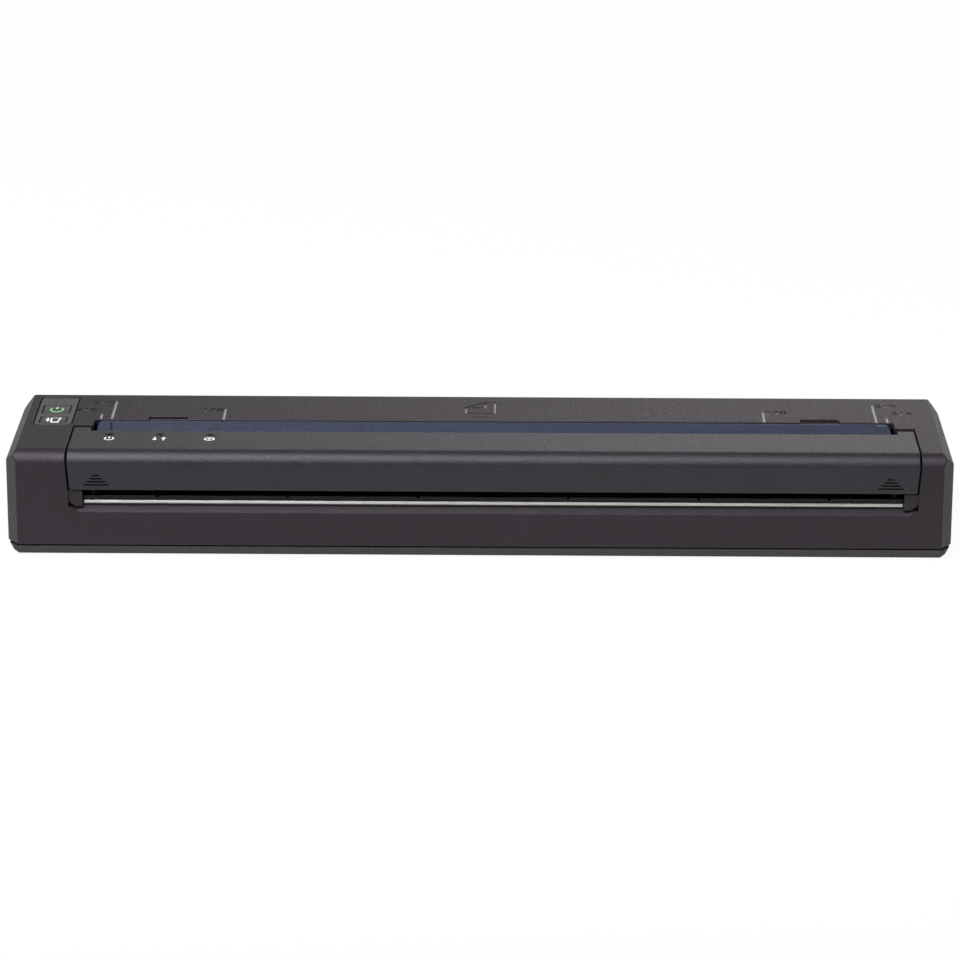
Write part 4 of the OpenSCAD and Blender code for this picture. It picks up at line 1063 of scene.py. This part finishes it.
class PRINTER_OT_stage(bpy.types.Operator):
    """Pale floor, soft lamps, surround and camera"""

    bl_idname = "printer.stage"
    bl_label = "Stage"

    def execute(self, context):
        scene = context.scene
        stage = scene.printer_stage
        scene.view_settings.view_transform = "Standard"
        self.floor()
        self.surround(scene, stage)
        self.flag()
        # Each lamp's brightness, distance, bearing, height and size
        self.lamp("key_softbox", stage.key, 1.2, -122, 55, (1.1, 0.95))
        for lamp in (self.lamp("rear_softbox", stage.rear, 1.6, 60, 17, (2.6, 0.5)),
                     self.lamp("right_softbox", stage.rear * 1.1, 1.6, 78, 17, (0.7, 0.5))):
            lamp.color = (1, 0.94, 0.97)
        self.lamp("left_softbox", stage.key * 0.25, 1.3, 190, 40, (0.7, 0.5))
        self.camera(scene, stage)
        return {"FINISHED"}

    def floor(self):
        """A pale sheet that shows white, and still takes the printer's shadow."""
        half_width, whiteness = 6, 0.95
        bm = bmesh.new()
        bmesh.ops.create_grid(bm, x_segments=1, y_segments=1, size=half_width)
        mesh = bpy.data.meshes.new("floor")
        bm.to_mesh(mesh)
        bm.free()
        floor = add_object("floor", mesh)
        mat = bpy.data.materials.new("floor_paper")
        mat.use_nodes = True
        tree = mat.node_tree
        bsdf = tree.nodes["Principled BSDF"]
        bsdf.inputs["Base Color"].default_value = (0.82, 0.82, 0.82, 1)
        bsdf.inputs["Roughness"].default_value = 0.9
        glow = tree.nodes.new("ShaderNodeEmission")
        mix = tree.nodes.new("ShaderNodeMixShader")
        scale = tree.nodes.new("ShaderNodeMath")
        scale.operation = "MULTIPLY"
        scale.inputs[1].default_value = whiteness
        tree.links.new(seen_or_reflected(tree), scale.inputs[0])
        tree.links.new(scale.outputs[0], mix.inputs["Fac"])
        tree.links.new(bsdf.outputs[0], mix.inputs[1])
        tree.links.new(glow.outputs[0], mix.inputs[2])
        tree.links.new(mix.outputs[0], tree.nodes["Material Output"].inputs["Surface"])
        mesh.materials.append(mat)

    def flag(self):
        """A black card low in front, which darkens what the rounded front edges mirror."""
        card = Solids()
        card.prism([(-1.5, -0.37), (1.5, -0.37), (1.5, -0.36), (-1.5, -0.36)], 0.001, 0.2)
        flag = card.object("flag", "flag_black")
        flag.visible_camera = False

    def surround(self, scene, stage):
        """An even grey room."""
        world = bpy.data.worlds.new("surround")
        scene.world = world
        world.use_nodes = True
        back = world.node_tree.nodes["Background"]
        back.inputs["Color"].default_value = (1, 1, 1, 1)
        back.inputs["Strength"].default_value = stage.room

    def lamp(self, name, brightness, distance, bearing, height, size):
        """A softbox at a bearing and height in degrees, facing the printer."""
        data = bpy.data.lights.new(name, "AREA")
        data.shape = "RECTANGLE"
        data.size, data.size_y = size
        data.energy = brightness * math.pi * size[0] * size[1]
        obj = add_object(name, data)
        turn, lift = math.radians(bearing), math.radians(height)
        away = Vector((math.cos(turn) * math.cos(lift), math.sin(turn) * math.cos(lift),
                       math.sin(lift)))
        obj.location = distance * away
        obj.rotation_euler = (-away).to_track_quat("-Z", "Y").to_euler()
        obj.visible_camera = False
        return data

    def camera(self, scene, stage):
        """A camera that looks at the printer's middle, with the stage's settings."""
        data = bpy.data.cameras.new("camera")
        data.sensor_fit = "HORIZONTAL"
        data.sensor_width = 36
        data.lens = stage.lens
        data.shift_y = stage.shift
        obj = add_object("camera", data)
        az, el, roll = stage.azimuth, stage.elevation, stage.roll
        back = Vector((math.sin(az) * math.cos(el), -math.cos(az) * math.cos(el), math.sin(el)))
        right = Vector((math.cos(az), math.sin(az), 0))
        up = back.cross(right)
        across = math.cos(roll) * right + math.sin(roll) * up
        upward = -math.sin(roll) * right + math.cos(roll) * up
        turn = Matrix((across, upward, back)).transposed().to_4x4()
        target = Vector((-0.032 * MM, 0, TOP / 2))
        obj.matrix_world = Matrix.Translation(target + stage.distance * back) @ turn
        scene.camera = obj


class PRINTER_PT_sidebar(bpy.types.Panel):
    """Buttons and settings of the printer"""

    bl_label = "Printer"
    bl_idname = "PRINTER_PT_sidebar"
    bl_space_type = "VIEW_3D"
    bl_region_type = "UI"
    bl_category = "Printer"

    def draw(self, context):
        layout = self.layout
        for group in SETTINGS:
            settings = getattr(context.scene, group)
            box = layout.box()
            for name in settings.__annotations__:
                box.prop(settings, name)
        for operator in PIECES:
            layout.operator(operator.bl_idname)


PIECES = (
    PRINTER_OT_casing,
    PRINTER_OT_cover,
    PRINTER_OT_base,
    PRINTER_OT_door,
    PRINTER_OT_guide,
    PRINTER_OT_keys,
    PRINTER_OT_lights,
    PRINTER_OT_exit,
    PRINTER_OT_mechanism,
    PRINTER_OT_stage,
)
SETTINGS = {
    "printer_finish": PrinterFinish,
    "printer_marks": PrinterMarks,
    "printer_stage": PrinterStage,
}


def register():
    """Adds the settings, the operators and the panel to Blender."""
    for group in SETTINGS.values():
        bpy.utils.register_class(group)
    for name, group in SETTINGS.items():
        setattr(bpy.types.Scene, name, PointerProperty(type=group))
    for operator in PIECES:
        bpy.utils.register_class(operator)
    bpy.utils.register_class(PRINTER_PT_sidebar)


def unregister():
    """Takes them out again, in the opposite order."""
    bpy.utils.unregister_class(PRINTER_PT_sidebar)
    for operator in reversed(PIECES):
        bpy.utils.unregister_class(operator)
    for name in SETTINGS:
        delattr(bpy.types.Scene, name)
    for group in reversed(list(SETTINGS.values())):
        bpy.utils.unregister_class(group)


def main():
    """Makes the whole printer."""
    register()
    for operator in PIECES:
        group, name = operator.bl_idname.split(".")
        getattr(getattr(bpy.ops, group), name)()


if __name__ == "__main__":
    main()
